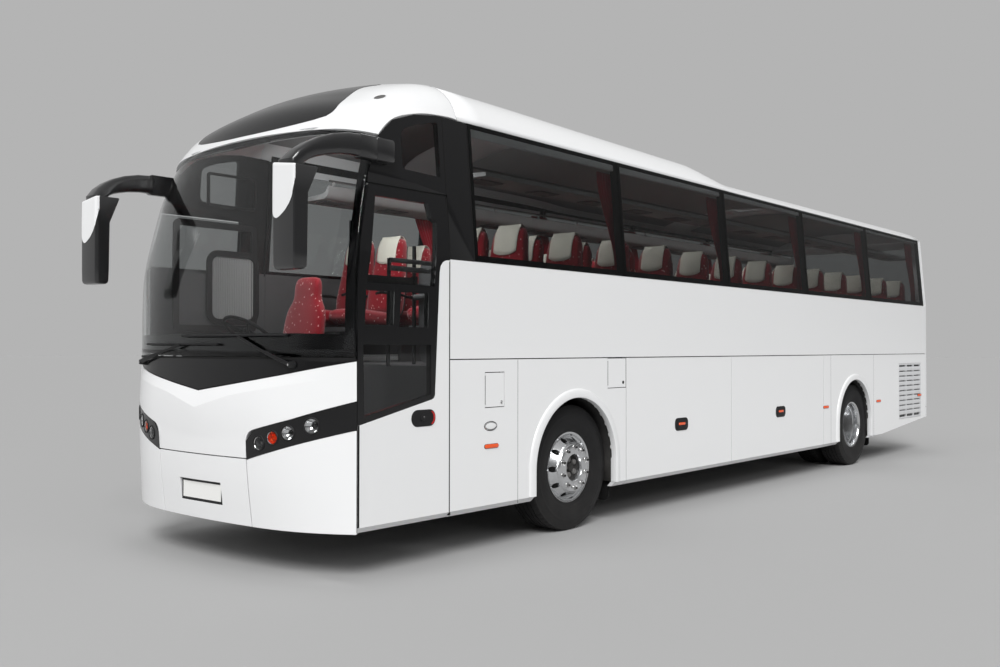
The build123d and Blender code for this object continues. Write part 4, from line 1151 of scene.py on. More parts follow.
def carve_plate_recess(flap):
    mould = Mould()
    mould.box((2.712, PLATE_Y[0] - 0.02, PLATE_Z[0] - 0.02), (2.9, PLATE_Y[1] + 0.02, PLATE_Z[1] + 0.02))
    return carved(flap, mould.piece("plate_recess", [], smooth=False))


def make_front_plate():
    (y0, y1), (z0, z1) = PLATE_Y, PLATE_Z
    tray = Mould()
    tray.box((2.7125, y0 - 0.019, z0 - 0.019), (2.7185, y1 + 0.019, z1 + 0.019), 0)
    tray.box((2.7180, y0, z0), (2.7215, y1, z1), 1)
    rounded(tray.piece("front_plate", [PLASTIC, PLATE_FACE], "bumper_flap"), 0.0012)


# wipers: pivot (y, z), elbow (y, z), blade (y0, y1, z)
WIPERS = [((0.900, 1.400), (0.420, 1.585), (-0.250, 0.850, 1.592)),
          ((-0.900, 1.400), (-0.250, 1.528), (-0.800, 0.200, 1.535))]


def screen_front(y, z, proud):
    """A place in front of the screen or nose, proud of it along X."""
    return front_point(max(min(y, 1.26), -1.26), z, proud)


def make_wipers():
    mould = Mould()
    for (pivot_y, pivot_z), (elbow_y, elbow_z), (y0, y1, blade_z) in WIPERS:
        steps = 24
        stops = [y0 + (y1 - y0) * k / steps for k in range(steps + 1)]
        # rubber lip, the carrier that bows over it, and the yokes that hold the carrier
        mould.tube([screen_front(y, blade_z, 0.010) for y in stops], 0.0060, 8, 1)
        mould.tube([screen_front(y, blade_z, 0.018) for y in stops], 0.0085, 8, 0)
        for low, high in ((0.04, 0.40), (0.60, 0.96)):
            share = [low + (high - low) * k / 8 for k in range(9)]
            mould.tube([screen_front(y0 + (y1 - y0) * s, blade_z,
                                     0.018 + 0.008 * math.sin(math.pi * (s - low) / (high - low)))
                        for s in share], 0.0060, 8, 0)
        share = [0.22 + 0.56 * k / 10 for k in range(11)]
        mould.tube([screen_front(y0 + (y1 - y0) * s, blade_z, 0.025 + 0.003 * math.sin(math.pi * s))
                    for s in share], 0.0065, 8, 0)
        arm = [(pivot_y + (elbow_y - pivot_y) * k / 10, pivot_z + (elbow_z - pivot_z) * k / 10)
               for k in range(11)]
        lifts = [0.034, 0.034, 0.033, 0.032, 0.031, 0.030, 0.030, 0.030, 0.030, 0.030, 0.028]
        mould.tube([screen_front(y, z, lift) for (y, z), lift in zip(arm, lifts)],
                   [0.018, 0.018, 0.017, 0.016, 0.015] + [0.012] * 6, 10, 0, 0.6)
        foot = screen_front(pivot_y, pivot_z, 0.0)
        mould.turned([(0.0, 0.0), (0.0, 0.024), (0.020, 0.022), (0.042, 0.019), (0.046, 0.012),
                      (0.047, 0.0)], foot, (1, 0, 0), 28, finish=0)
        mould.turned([(0.046, 0.0), (0.046, 0.008), (0.0515, 0.008), (0.0525, 0.0)], foot, (1, 0, 0), 6,
                     finish=2)
    made = mould.piece("wiper_set", [PLASTIC, RUBBER, CHROME])
    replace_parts(made, "wipers")


# ------------------------------------------------------------------- the mirrors
# arm stations: x, z, pitch in degrees, half depth, middle y, half width
MIRROR_ARM = [(2.390, 2.822, -2, 0.073, 1.252, 0.037), (2.500, 2.818, -8, 0.070, 1.251, 0.038),
              (2.610, 2.800, -16, 0.065, 1.247, 0.042), (2.707, 2.771, -28, 0.060, 1.236, 0.050),
              (2.782, 2.739, -45, 0.056, 1.220, 0.060), (2.842, 2.702, -64, 0.056, 1.200, 0.072),
              (2.887, 2.658, -84, 0.058, 1.182, 0.084), (2.890, 2.620, -89, 0.052, 1.180, 0.080)]
# head stations, top to bottom: z, rear x, front x, inner y, outer y
MIRROR_HEAD = [(2.644, 2.772, 2.936, 1.080, 1.276), (2.641, 2.764, 2.944, 1.070, 1.284),
               (2.634, 2.760, 2.949, 1.065, 1.288), (2.460, 2.838, 2.950, 1.065, 1.288),
               (2.100, 2.842, 2.948, 1.066, 1.288), (2.018, 2.845, 2.946, 1.067, 1.287),
               (2.003, 2.849, 2.942, 1.071, 1.283), (1.994, 2.857, 2.934, 1.079, 1.275),
               (1.990, 2.867, 2.924, 1.089, 1.265)]
HEAD_MIDDLE_Y = 1.1765
# corner radii of the head: front outer, rear outer, rear inner, front inner
HEAD_CORNERS = (0.012, 0.007, 0.007, 0.026)
# the white cap on the head's front: z, y of its inner edge, y of its free edge
CAP_EDGE = [(2.306, 1.118, 1.122), (2.313, 1.100, 1.143), (2.323, 1.090, 1.162), (2.347, 1.079, 1.201),
            (2.389, 1.069, 1.244), (2.433, 1.065, 1.272), (2.500, 1.065, 1.284), (2.560, 1.065, 1.288),
            (2.644, 1.065, 1.288)]


def table_row(table, key):
    """Straight-line reading of every column of a table that rises by its first."""
    return [between([(row[0], row[k]) for row in table], key) for k in range(1, len(table[0]))]


def head_slant(y, z):
    """How far the head's top leans down outwards at y."""
    return (HEAD_MIDDLE_Y - y) * 0.11 * max(0.0, (z - 2.46) / 0.15)


def head_ring(z):
    rear, front, inner, outer = table_row(MIRROR_HEAD[::-1], z)
    ring = []
    for number, corner in enumerate(HEAD_CORNERS):
        corner = min(corner, (front - rear) * 0.4)
        middle_x = front - corner if number in (0, 3) else rear + corner
        middle_y = outer - corner if number < 2 else inner + corner
        for k in range(7):
            angle = math.radians(90 * number + 15 * k)
            y = middle_y + corner * math.sin(angle)
            ring.append((middle_x + corner * math.cos(angle), y, z + head_slant(y, z)))
    return ring


def head_cap_row(z, flip):
    """Points across the head's front at height z, from the cap's straight edge to its free edge."""
    _, front, inner, outer = table_row(MIRROR_HEAD[::-1], z)
    start, end = table_row(CAP_EDGE, z)
    start, end = max(start, inner) - 0.0012, min(end, outer) + 0.0012
    row = []
    for k in range(57):
        y = start + (end - start) * k / 56
        place = inner + outer - y if flip else y
        into_inner = max(0.0, HEAD_CORNERS[3] - (place - inner))
        into_outer = max(0.0, HEAD_CORNERS[0] - (outer - place))
        sunk = 0.0
        for radius, into in ((HEAD_CORNERS[3], into_inner), (HEAD_CORNERS[0], into_outer)):
            sunk += radius - math.sqrt(max(0.0, radius ** 2 - min(into, radius) ** 2))
        row.append((front + 0.0022 - sunk, place, z + head_slant(place, z)))
    return row


def make_mirror(side, name):
    mould = Mould()
    zs = [row[0] for row in MIRROR_HEAD]
    mould.loft([head_ring(z) for z in zs], finish=0)
    # the reflecting face looks rearwards out of a thin frame
    face = rounded_rectangle(0.0, 2.250, 0.088, 0.195, 0.022, 0.0)
    mould.plate([(2.8400, HEAD_MIDDLE_Y + x, z) for x, _, z in face], (-0.003, 0, 0), 2)
    rings = []
    for x, z, pitch, depth, y, wide in MIRROR_ARM:
        lean = math.radians(pitch)
        ring = []
        for angle in turns(28):
            up = math.copysign(abs(math.sin(angle)) ** 0.55, math.sin(angle)) * depth
            across = math.copysign(abs(math.cos(angle)) ** 0.55, math.cos(angle)) * wide
            ring.append((x - math.sin(lean) * up, y + across, z + math.cos(lean) * up))
        rings.append(ring)
    mould.loft(rings, finish=0)
    # bracket on the body's corner
    low, high, outer, corner = 2.738, 2.898, 1.290, 0.022
    sections = []
    for x, shrink in ((2.098, 0.016), (2.106, 0.005), (2.122, 0.0), (2.262, 0.0), (2.266, 0.003),
                      (2.270, 0.0), (2.398, 0.0), (2.412, 0.005), (2.420, 0.014)):
        side_edge = outer - shrink
        sections.append([(x, side_y(low) + 0.003, low + shrink), (x, side_edge - corner, low + shrink),
                         (x, side_edge - corner * 0.3, low + shrink + corner * 0.3),
                         (x, side_edge, low + shrink + corner), (x, side_edge, high - shrink - corner),
                         (x, side_edge - corner * 0.3, high - shrink - corner * 0.3),
                         (x, side_edge - corner, high - shrink), (x, side_y(high) + 0.003, high - shrink)])
    mould.loft(sections, finish=0)
    # white cap over the upper front, ending in a point below
    heights = [2.306, 2.308, 2.313, 2.318] + [2.323 + (2.634 - 2.323) * k / 24 for k in range(25)] + [2.641]
    mould.loft([head_cap_row(z, side < 0) for z in heights], closed=False, capped=False, finish=3)
    if side < 0:
        mould.to_right()
    made = mould.piece("mirror_set_" + name, [GLOSS_MOULDING, PLASTIC, CHROME, WHITE])
    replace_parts(made, "mirror_" + name)


# ---------------------------------------------------------- fittings on the sides
# side marker lamps: x, z. luggage latches: x, z, flap
MARKERS = [(1.100, 0.782), (-5.133, 0.796), (-6.909, 0.799), (-8.585, 0.821)]
LATCHES = [(-1.677, 0.787, "front"), (-3.857, 0.802, "rear")]


# the oval fitting under the fuel flap: finish, then y and half sizes of its rings
OVAL_X, OVAL_Z = 1.110, 0.931
OVAL_RINGS = [(0, [(1.274, 0.074, 0.036), (1.2765, 0.074, 0.036), (1.2768, 0.071, 0.033)]),
              (2, [(1.2765, 0.070, 0.032), (1.2800, 0.068, 0.030), (1.2805, 0.064, 0.027),
                   (1.2790, 0.060, 0.024)]),
              (3, [(1.2785, 0.060, 0.024), (1.2795, 0.056, 0.021), (1.2800, 0.030, 0.011)])]


def raised(mould, x, z, half_x, half_z, corner, height, finish, foot=HALF_WIDTH, dome=0.0):
    """A pad with rounded edges standing on the side, rising by height."""
    edge = min(height, 0.003)
    rings = [rounded_rectangle(x, z, half_x, half_z, corner, foot - 0.001),
             rounded_rectangle(x, z, half_x, half_z, corner, foot + height - edge),
             rounded_rectangle(x, z, half_x - edge * 0.4, half_z - edge * 0.4, corner * 0.95,
                               foot + height - edge * 0.3),
             rounded_rectangle(x, z, half_x - edge, half_z - edge, corner * 0.9, foot + height),
             rounded_rectangle(x, z, half_x * 0.5, half_z * 0.5, corner * 0.5, foot + height + dome)]
    mould.loft(rings, finish=finish)


def make_side_fittings():
    mould = Mould()
    for x, z in MARKERS:
        raised(mould, x, z, 0.082, 0.0175, 0.0170, 0.003, 0)
        raised(mould, x, z, 0.078, 0.0145, 0.0140, 0.006, 1, HALF_WIDTH + 0.002, 0.002)
    mould.mirrored()
    for finish, rings in OVAL_RINGS:
        mould.loft([[(OVAL_X + half_x * math.cos(t), y, OVAL_Z + half_z * math.sin(t)) for t in turns(40)]
                    for y, half_x, half_z in rings], finish=finish)
    made = mould.piece("side_markers", [PLASTIC, ORANGE, CHROME, WHITE])
    made.data.set_sharp_from_angle(angle=SHARP_ANGLE)
    for x, z, name in LATCHES:
        for side, hand in HANDS:
            latch = Mould()
            raised(latch, x, z, 0.120, 0.060, 0.045, 0.006, 0)
            raised(latch, x, z, 0.104, 0.046, 0.036, 0.003, 0, HALF_WIDTH + 0.0055)
            raised(latch, x, z + 0.004, 0.060, 0.012, 0.006, 0.002, 1, HALF_WIDTH + 0.0080)
            if side < 0:
                latch.to_right()
            latch.piece("flap_latch_%s_%s" % (hand, name), [PLASTIC, ORANGE],
                        "luggage_flap_%s_%s" % (hand, name))
    for x, z, name, body in ((0.985, 1.105, "fuel_flap_lock", "fuel_flap"),
                             (-0.670, 1.210, "service_flap_lock", "service_flap")):
        lock = Mould()
        lock.turned([(-0.001, 0.0), (-0.001, 0.014), (0.002, 0.014), (0.0035, 0.012), (0.0030, 0.006),
                     (0.0015, 0.005), (0.0012, 0.0)], (x, HALF_WIDTH, z), (0, 1, 0), 28, finish=0)
        lock.piece(name, [PLASTIC if body == "service_flap" else CHROME], body)


def make_door_lock():
    """Black plate with a round button, on the door's white skin."""
    mould = Mould()
    x, z = 1.820, 1.027
    half_x, half_z = 0.118, 0.058
    raised(mould, x, z, half_x, half_z, half_z - 0.001, 0.006, 0)
    raised(mould, x, z, half_x - 0.010, half_z - 0.010, half_z - 0.011, 0.002, 0, HALF_WIDTH + 0.0055)
    top = HALF_WIDTH + 0.0075
    mould.turned([(0.0, 0.0), (0.0, 0.023), (0.005, 0.022), (0.007, 0.018), (0.0075, 0.010),
                  (0.0078, 0.0)], (x + 0.012, top, z), (0, 1, 0), 32, finish=0)
    # the small chrome disc high on the button is a painted highlight on the button's dark dome
    mould.turned([(0.0076, 0.0), (0.0076, 0.004), (0.0086, 0.003), (0.0090, 0.0)],
                 (x + 0.006, top, z + 0.010), (0, 1, 0), 16, finish=1)
    # red crescent round the rear end
    centre_x = x - half_x + half_z
    arc = [math.radians(112 + 136 * k / 16) for k in range(17)]
    outer = [(centre_x + 0.050 * math.cos(a), z + 0.050 * math.sin(a)) for a in arc]
    inner = [(centre_x + 0.006 + 0.040 * math.cos(a), z + 0.046 * math.sin(a)) for a in reversed(arc)]
    mould.plate([(px, top - 0.001, pz) for px, pz in outer + inner], (0, 0.003, 0), 2)
    mould.piece("door_lock", [PLASTIC, CHROME, RED_LENS], "door")


# rear x, front x, foot z, head z
GRILLE = (-8.659, -7.708, 0.508, 1.295)
LOUVRES = 11


def make_grille(side, name):
    """Body-coloured slats with dark slots between them, split in three by dividers."""
    rear, front, low, high = GRILLE
    mould = Mould()
    y = HALF_WIDTH - 0.0015
    deep = 0.024
    mould.box((rear + 0.002, y - deep - 0.004, low + 0.002), (front - 0.002, y - deep, high - 0.002), 1)
    pitch = (high - low - 0.004) / (LOUVRES + 0.35)
    half = pitch * 0.33
    for k in range(LOUVRES + 1):
        z = low + 0.002 + pitch * (k + 0.18)
        section = [(y - 0.003, z - half), (y, z - half * 0.7), (y, z + half * 0.7), (y - 0.003, z + half),
                   (y - deep, z + half * 1.5), (y - deep, z - half * 0.4)]
        if k in (0, LOUVRES):
            section = [(y - 0.002, z - half * 0.5), (y, z - half * 0.4), (y, z + half * 0.4),
                       (y - 0.002, z + half * 0.5), (y - deep, z + half * 0.5), (y - deep, z - half * 0.5)]
        mould.loft([[(x, sy, sz) for sy, sz in section] for x in (rear + 0.004, front - 0.004)])
    for share in (0.0, 1 / 3, 2 / 3, 1.0):
        x = rear + 0.016 + (front - rear - 0.032) * share
        mould.loft([[(x - w, y - deep, z), (x - w, y - c, z), (x + w, y - c, z), (x + w, y - deep, z)]
                    for w, c, z in ((0.013, 0.0005, low + 0.003), (0.013, 0.0005, high - 0.003))])
    if side < 0:
        mould.to_right()
    return mould.piece("grille_" + name, [PALE_GREY, FRIT], smooth=False)


def make_grilles():
    left = make_grille(1, "left")
    make_grille(-1, "right")
    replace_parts(left, "side_grilles")


# ---------------------------------------------------------------------- wheels
FRONT_TYRE_Y = 1.062
REAR_OUTER_Y = 1.069
REAR_INNER_Y = 0.734
TYRE_HALF = 0.145
TREAD_STEPS = 240
GROOVES = [-0.066, -0.024, 0.024, 0.066]
GROOVE_HALF = 0.0048
GROOVE_DEPTH = 0.010
# sidewall from the bead to the shoulder: share of the half width, radius
SIDEWALL = [(0.745, 0.284), (0.790, 0.288), (0.830, 0.296), (0.862, 0.308), (0.858, 0.313), (0.880, 0.320),
            (0.925, 0.338), (0.962, 0.358), (0.985, 0.378), (0.996, 0.398), (0.998, 0.415), (0.990, 0.432),
            (0.996, 0.437), (0.994, 0.441), (0.978, 0.446), (0.955, 0.465), (0.925, 0.482), (0.895, 0.494),
            (0.868, 0.502), (0.862, 0.510)]


def tyre_ring(step, lugged):
    """One cross-section of a tyre as (y, radius), from the inner bead round to the outer."""
    zigzag = 0.0028 * (1 - 2 * abs((step % 8) / 4 - 1))
    sipe = 0.006 if step % 4 == 0 else 0.0
    shoulder = [(0.090, TYRE_R - 0.001 - sipe), (0.104, TYRE_R - 0.003 - sipe),
                (0.118, TYRE_R - 0.0065 - sipe)]
    crown = [(-y, radius) for y, radius in reversed(shoulder)]
    for number, y in enumerate(GROOVES):
        swing = zigzag * (1 if number % 2 else -1)
        floor = TYRE_R - GROOVE_DEPTH
        crown += [(y + swing - GROOVE_HALF, TYRE_R), (y + swing - GROOVE_HALF * 0.6, floor),
                  (y + swing + GROOVE_HALF * 0.6, floor), (y + swing + GROOVE_HALF, TYRE_R)]
        if number < len(GROOVES) - 1:
            middle = (y + GROOVES[number + 1]) / 2
            cut = 0.005 if lugged and step % 6 == 0 else 0.0
            crown.append((middle, TYRE_R - cut))
    crown += shoulder
    inner = [(-share * TYRE_HALF, radius) for share, radius in SIDEWALL]
    outer = [(share * TYRE_HALF, radius) for share, radius in reversed(SIDEWALL)]
    return inner + crown + outer


def on_wheel(x, y, radius, angle):
    """A place on a wheel at y, radius out from its axis."""
    return (x + radius * math.sin(angle), y, TYRE_R + radius * math.cos(angle))


def make_tyre(name, x, y, body, node=None, lugged=False):
    rings = []
    for step, angle in enumerate(turns(TREAD_STEPS)):
        rings.append([on_wheel(x, y + across, r, angle) for across, r in tyre_ring(step, lugged)])
    mould = Mould()
    mould.loft(rings + [rings[0]], capped=False)
    tyre = mould.piece(name, [TYRE], body)
    if node:
        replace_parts(tyre, node)


STUDS = 10
STUD_RING_R = 0.1675
RIM_STEPS = 96


def add_nut(mould, x, y, angle, finish=0):
    """A wheel nut with a cup-shaped collar, standing on the disc's face at y."""
    place = on_wheel(x, y, STUD_RING_R, angle)
    mould.turned([(0.0, 0.0), (0.0, 0.0250), (0.004, 0.0240), (0.006, 0.0215), (0.0065, 0.0)],
                 place, (0, 1, 0), 24, finish=finish)
    mould.turned([(0.005, 0.0), (0.005, 0.0190), (0.018, 0.0190), (0.021, 0.0165), (0.021, 0.0)],
                 place, (0, 1, 0), 6, finish=finish)
    mould.turned([(0.021, 0.0), (0.021, 0.0105), (0.027, 0.0095), (0.029, 0.0)],
                 place, (0, 1, 0), 14, finish=3)


FRONT_RIM = [(-0.115, 0.300), (-0.103, 0.286), (0.103, 0.286), (0.111, 0.290), (0.115, 0.297),
             (0.1165, 0.296), (0.1165, 0.278), (0.112, 0.272), (0.100, 0.267), (0.093, 0.262),
             (0.091, 0.256), (0.096, 0.250), (0.148, 0.212), (0.152, 0.208), (0.158, 0.207),
             (0.168, 0.199), (0.172, 0.196), (0.174, 0.190), (0.174, 0.116), (0.173, 0.111),
             (0.169, 0.108), (0.110, 0.104), (0.110, 0.110), (0.150, 0.120), (0.150, 0.186),
             (0.130, 0.206), (0.080, 0.244), (0.070, 0.262), (0.062, 0.272), (-0.115, 0.272)]
FRONT_FACE = 0.174
FRONT_HUB_FLOOR = 0.108
HAND_HOLES = 10
HAND_HOLE_RING_R = 0.2300
HAND_HOLE_R = 0.0235
KNURLS = 120


def finish_wheel(mould, side, name, body):
    if side < 0:
        mould.to_right()
    mould.piece(name, [ALLOY, CASTING, CHROME, CHASSIS], body)


def drill_hand_holes(rim, x, y, ring_radius, low, high, radius):
    holes = Mould()
    for angle in turns(HAND_HOLES, 0.5):
        holes.turned(bore(low, high, radius), on_wheel(x, y, ring_radius, angle), (0, 1, 0), 24)
    carved(rim, holes.piece("hand_holes", [], smooth=False))


def make_front_rim(side, name):
    body, node = "wheel_front_" + name, "rim_front_" + name
    shell = Mould()
    profile = [(FRONT_TYRE_Y + a, r) for a, r in FRONT_RIM]
    if side < 0:
        profile = [(-a, r) for a, r in profile]
    shell.turned(profile, (0, 0, TYRE_R), (0, 1, 0), RIM_STEPS)
    rim = shell.piece("rim_disc_front_" + name, [ALLOY], body)
    drill_hand_holes(rim, 0.0, side * (FRONT_TYRE_Y + 0.08), HAND_HOLE_RING_R, -0.06, 0.10, HAND_HOLE_R)
    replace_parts(rim, node)
    mould = Mould()
    face = FRONT_TYRE_Y + FRONT_FACE
    ring = []
    for k, angle in enumerate(turns(KNURLS * 2)):
        out = 0.0022 if k % 2 else 0.0
        ring.append([on_wheel(0.0, FRONT_TYRE_Y + a, r, angle) for a, r in
                     ((0.151, 0.2125 + out), (0.160, 0.2070 + out), (0.160, 0.2000), (0.151, 0.2000))])
    mould.loft(ring + [ring[0]], capped=False, finish=0)
    for angle in turns(STUDS):
        add_nut(mould, 0.0, face, angle, 2)
    # hub deep in the bore, with its ring of cover bolts
    floor = FRONT_TYRE_Y + FRONT_HUB_FLOOR
    mould.turned([(0.0, 0.0), (0.0, 0.1065), (0.018, 0.1065), (0.018, 0.098), (0.012, 0.092), (0.014, 0.040),
                  (0.030, 0.034), (0.034, 0.022), (0.034, 0.0)], (0, floor, TYRE_R), (0, 1, 0), 64, finish=3)
    for angle in turns(5, 0.25):
        mould.turned([(0.010, 0.0), (0.010, 0.024), (0.026, 0.0225), (0.031, 0.018), (0.033, 0.0)],
                     on_wheel(0.0, floor, 0.066, angle), (0, 1, 0), 24, finish=1)
    finish_wheel(mould, side, "hub_front_" + name, body)


REAR_X = -WHEELBASE
TWIN_MIDDLE_Y = (REAR_OUTER_Y + REAR_INNER_Y) / 2
REAR_RIM = [(REAR_INNER_Y - 0.115, 0.300), (REAR_INNER_Y - 0.103, 0.286), (REAR_INNER_Y + 0.107, 0.286),
            (REAR_INNER_Y + 0.107, 0.268), (TWIN_MIDDLE_Y - 0.014, 0.200), (TWIN_MIDDLE_Y + 0.014, 0.200),
            (REAR_OUTER_Y - 0.107, 0.268), (REAR_OUTER_Y - 0.107, 0.286), (REAR_OUTER_Y + 0.103, 0.286),
            (REAR_OUTER_Y + 0.111, 0.290), (REAR_OUTER_Y + 0.115, 0.297), (REAR_OUTER_Y + 0.1165, 0.296),
            (REAR_OUTER_Y + 0.1165, 0.278), (REAR_OUTER_Y + 0.112, 0.272), (REAR_OUTER_Y + 0.090, 0.266),
            (REAR_OUTER_Y + 0.040, 0.262), (REAR_OUTER_Y + 0.032, 0.254), (REAR_OUTER_Y - 0.060, 0.250),
            (TWIN_MIDDLE_Y + 0.062, 0.246), (TWIN_MIDDLE_Y + 0.044, 0.228), (TWIN_MIDDLE_Y + 0.031, 0.205),
            (TWIN_MIDDLE_Y + 0.029, 0.196), (TWIN_MIDDLE_Y + 0.026, 0.110), (TWIN_MIDDLE_Y + 0.018, 0.104),
            (TWIN_MIDDLE_Y - 0.018, 0.104), (TWIN_MIDDLE_Y - 0.030, 0.200), (TWIN_MIDDLE_Y - 0.060, 0.262),
            (REAR_INNER_Y - 0.115, 0.272)]
REAR_HUB = [(0.010, 0.0), (0.010, 0.125), (0.034, 0.124), (0.042, 0.118), (0.046, 0.092), (0.105, 0.086),
            (0.112, 0.080), (0.116, 0.066), (0.122, 0.060), (0.124, 0.0)]


def make_rear_rims(side, name):
    body, node = "wheels_rear_" + name, "rim_rear_" + name
    shell = Mould()
    profile = [(side * a, r) for a, r in REAR_RIM]
    shell.turned(profile, (REAR_X, 0, TYRE_R), (0, 1, 0), RIM_STEPS)
    rim = shell.piece("rim_twin_rear_" + name, [ALLOY], body)
    drill_hand_holes(rim, REAR_X, side * (TWIN_MIDDLE_Y + 0.03), 0.222, -0.05, 0.05, 0.020)
    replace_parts(rim, node)
    mould = Mould()
    for angle in turns(STUDS):
        add_nut(mould, REAR_X, TWIN_MIDDLE_Y + 0.027, angle, 2)
    mould.turned(REAR_HUB, (REAR_X, TWIN_MIDDLE_Y, TYRE_R), (0, 1, 0), 48, finish=1)
    for angle in turns(8):
        mould.turned([(0.122, 0.0), (0.122, 0.007), (0.129, 0.007), (0.130, 0.0)],
                     on_wheel(REAR_X, TWIN_MIDDLE_Y, 0.046, angle), (0, 1, 0), 6, finish=2)
    finish_wheel(mould, side, "hub_rear_" + name, body)


def make_wheels():
    for side, name in HANDS:
        rear_body = "wheels_rear_" + name
        make_tyre("tyre_tread_front_" + name, 0.0, side * FRONT_TYRE_Y, "wheel_front_" + name,
                  "tyre_front_" + name)
        make_tyre("tyre_tread_rear_outer_" + name, REAR_X, side * REAR_OUTER_Y, rear_body,
                  "tyres_rear_" + name, True)
        make_tyre("tyre_tread_rear_inner_" + name, REAR_X, side * REAR_INNER_Y, rear_body, None, True)
        make_front_rim(side, name)
        make_rear_rims(side, name)


# mud flaps: x of the rear face, inner y, outer y, foot z, head z
MUD_FLAPS = [(-0.590, 0.960, 1.185, 0.180, 0.620), (-6.800, 0.600, 1.185, 0.200, 0.620)]


def make_mud_flaps():
    mould = Mould()
    for x, y0, y1, z0, z1 in MUD_FLAPS:
        outline = []
        corner = 0.045
        for centre_y, start in ((y0 + corner, 180), (y1 - corner, 270)):
            for k in range(7):
                angle = math.radians(start + 15 * k)
                outline.append((centre_y + corner * math.cos(angle), z0 + corner + corner * math.sin(angle)))
        outline += [(y1, z1), (y0, z1)]
        mould.plate([(x + 0.004, y, z) for y, z in outline], (0.008, 0, 0))
        ribs = int((y1 - y0) / 0.030)
        for k in range(1, ribs):
            y = y0 + (y1 - y0) * k / ribs
            mould.tube([(x + 0.012, y, z0 + 0.06), (x + 0.012, y, z1 - 0.02)], 0.0035, 6)
        mould.box((x + 0.012, y0 + 0.01, z1 - 0.05), (x + 0.020, y1 - 0.01, z1 - 0.012))
    mould.mirrored()
    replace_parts(mould.piece("mud_flap_set", [RUBBER], smooth=False), "mudflaps")


# ------------------------------------------------------------------ the saloon
FIRST_SEAT_X = 0.577
SEAT_PITCH = 0.748
SEAT_ROWS = 13
SEAT_CENTRES_Y = [0.4825, 0.9075]
SEAT_HALF = 0.205
# back cushion rings: z, front x and rear x from the seat's own x, half width
BACK_RINGS = [(1.800, 0.000, -0.100, 0.185), (1.850, 0.020, -0.118, 0.200), (1.950, 0.012, -0.132, 0.205),
              (2.050, -0.012, -0.146, 0.203), (2.150, -0.040, -0.158, 0.198), (2.230, -0.058, -0.166, 0.190),
              (2.280, -0.064, -0.172, 0.182), (2.350, -0.072, -0.182, 0.176), (2.420, -0.088, -0.190, 0.168),
              (2.470, -0.106, -0.190, 0.150), (2.495, -0.126, -0.182, 0.110)]
# seat cushion rings, rear to front: x from the seat's own x, low z, high z, half width
CUSHION_RINGS = [(0.030, 1.700, 1.800, 0.185), (0.070, 1.688, 1.824, 0.200), (0.200, 1.694, 1.832, 0.204),
                 (0.330, 1.704, 1.842, 0.205), (0.400, 1.716, 1.846, 0.202), (0.440, 1.738, 1.838, 0.192),
                 (0.460, 1.765, 1.815, 0.165)]
RING_SIDES = 20
# the blown cushions: voxel of the mesh, pressure, furthest move of a point, triangles kept
PLUMP_VOXEL = 0.012
PLUMP_PRESSURE = 4.0
PLUMP_HOLD = 0.0035
PLUMP_TRIANGLES = 1500


def soft_ring(centre, first, second, half_first, half_second, square):
    """A rounded closed ring. square is 1 for an ellipse and nearer 0 for a box."""
    centre, first, second = Vector(centre), Vector(first), Vector(second)
    ring = []
    for angle in turns(RING_SIDES, 0.5):
        a = math.copysign(abs(math.cos(angle)) ** square, math.cos(angle)) * half_first
        b = math.copysign(abs(math.sin(angle)) ** square, math.sin(angle)) * half_second
        ring.append(tuple(centre + first * a + second * b))
    return ring


def plumped(piece):
    """Blows a cushion up with cloth simulation, holding every point near its start."""
    shape = placed(piece.name + "_blown", piece.data.copy())
    remesh = shape.modifiers.new("remesh", "REMESH")
    remesh.mode = "VOXEL"
    remesh.voxel_size = PLUMP_VOXEL
    mesh = worked_in(shape)
    shape.modifiers.clear()
    shape.data = mesh
    before = [vertex.co.copy() for vertex in mesh.vertices]
    blow = shape.modifiers.new("cloth", "CLOTH")
    blow.settings.use_pressure = True
    blow.settings.uniform_pressure_force = PLUMP_PRESSURE
    blow.settings.effector_weights.gravity = 0.0
    blow.settings.quality = 4
    for step in range(1, 21):
        bpy.context.scene.frame_set(step)
    blown = worked_in(shape)
    for vertex, start in zip(blown.vertices, before):
        move = vertex.co - start
        if move.length > PLUMP_HOLD:
            vertex.co = start + move * (PLUMP_HOLD / move.length)
    shape.modifiers.clear()
    shape.data = blown
    bpy.context.scene.frame_set(1)
    thin = shape.modifiers.new("thin", "DECIMATE")
    thin.ratio = min(1.0, PLUMP_TRIANGLES / (2 * len(blown.polygons)))
    result = worked_in(shape)
    bpy.data.objects.remove(shape)
    result.polygons.foreach_set("use_smooth", [True] * len(result.polygons))
    return result


def cushion_mesh(name, rings):
    mould = Mould()
    mould.loft(rings)
    piece = mould.piece(name, [])
    softened(piece, 2)
    mesh = plumped(piece)
    bpy.data.objects.remove(piece)
    return mesh


def seat_xs():
    return [FIRST_SEAT_X - row * SEAT_PITCH for row in range(SEAT_ROWS)]


def copies_of(mesh, name, moves, materials, body="coach_body"):
    """One piece made of a mesh set down at each of the moves."""
    points = [vertex.co.copy() for vertex in mesh.vertices]
    faces = [list(polygon.vertices) for polygon in mesh.polygons]
    everything, polygons = [], []
    for move in moves:
        start = len(everything)
        everything += [tuple(point + Vector(move)) for point in points]
        polygons += [[start + index for index in face] for face in faces]
    whole = bpy.data.meshes.new(name)
    whole.from_pydata(everything, [], polygons)
    for material in materials:
        whole.materials.append(material)
    whole.polygons.foreach_set("use_smooth", [True] * len(whole.polygons))
    made = placed(name, whole)
    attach(made, body)
    return made


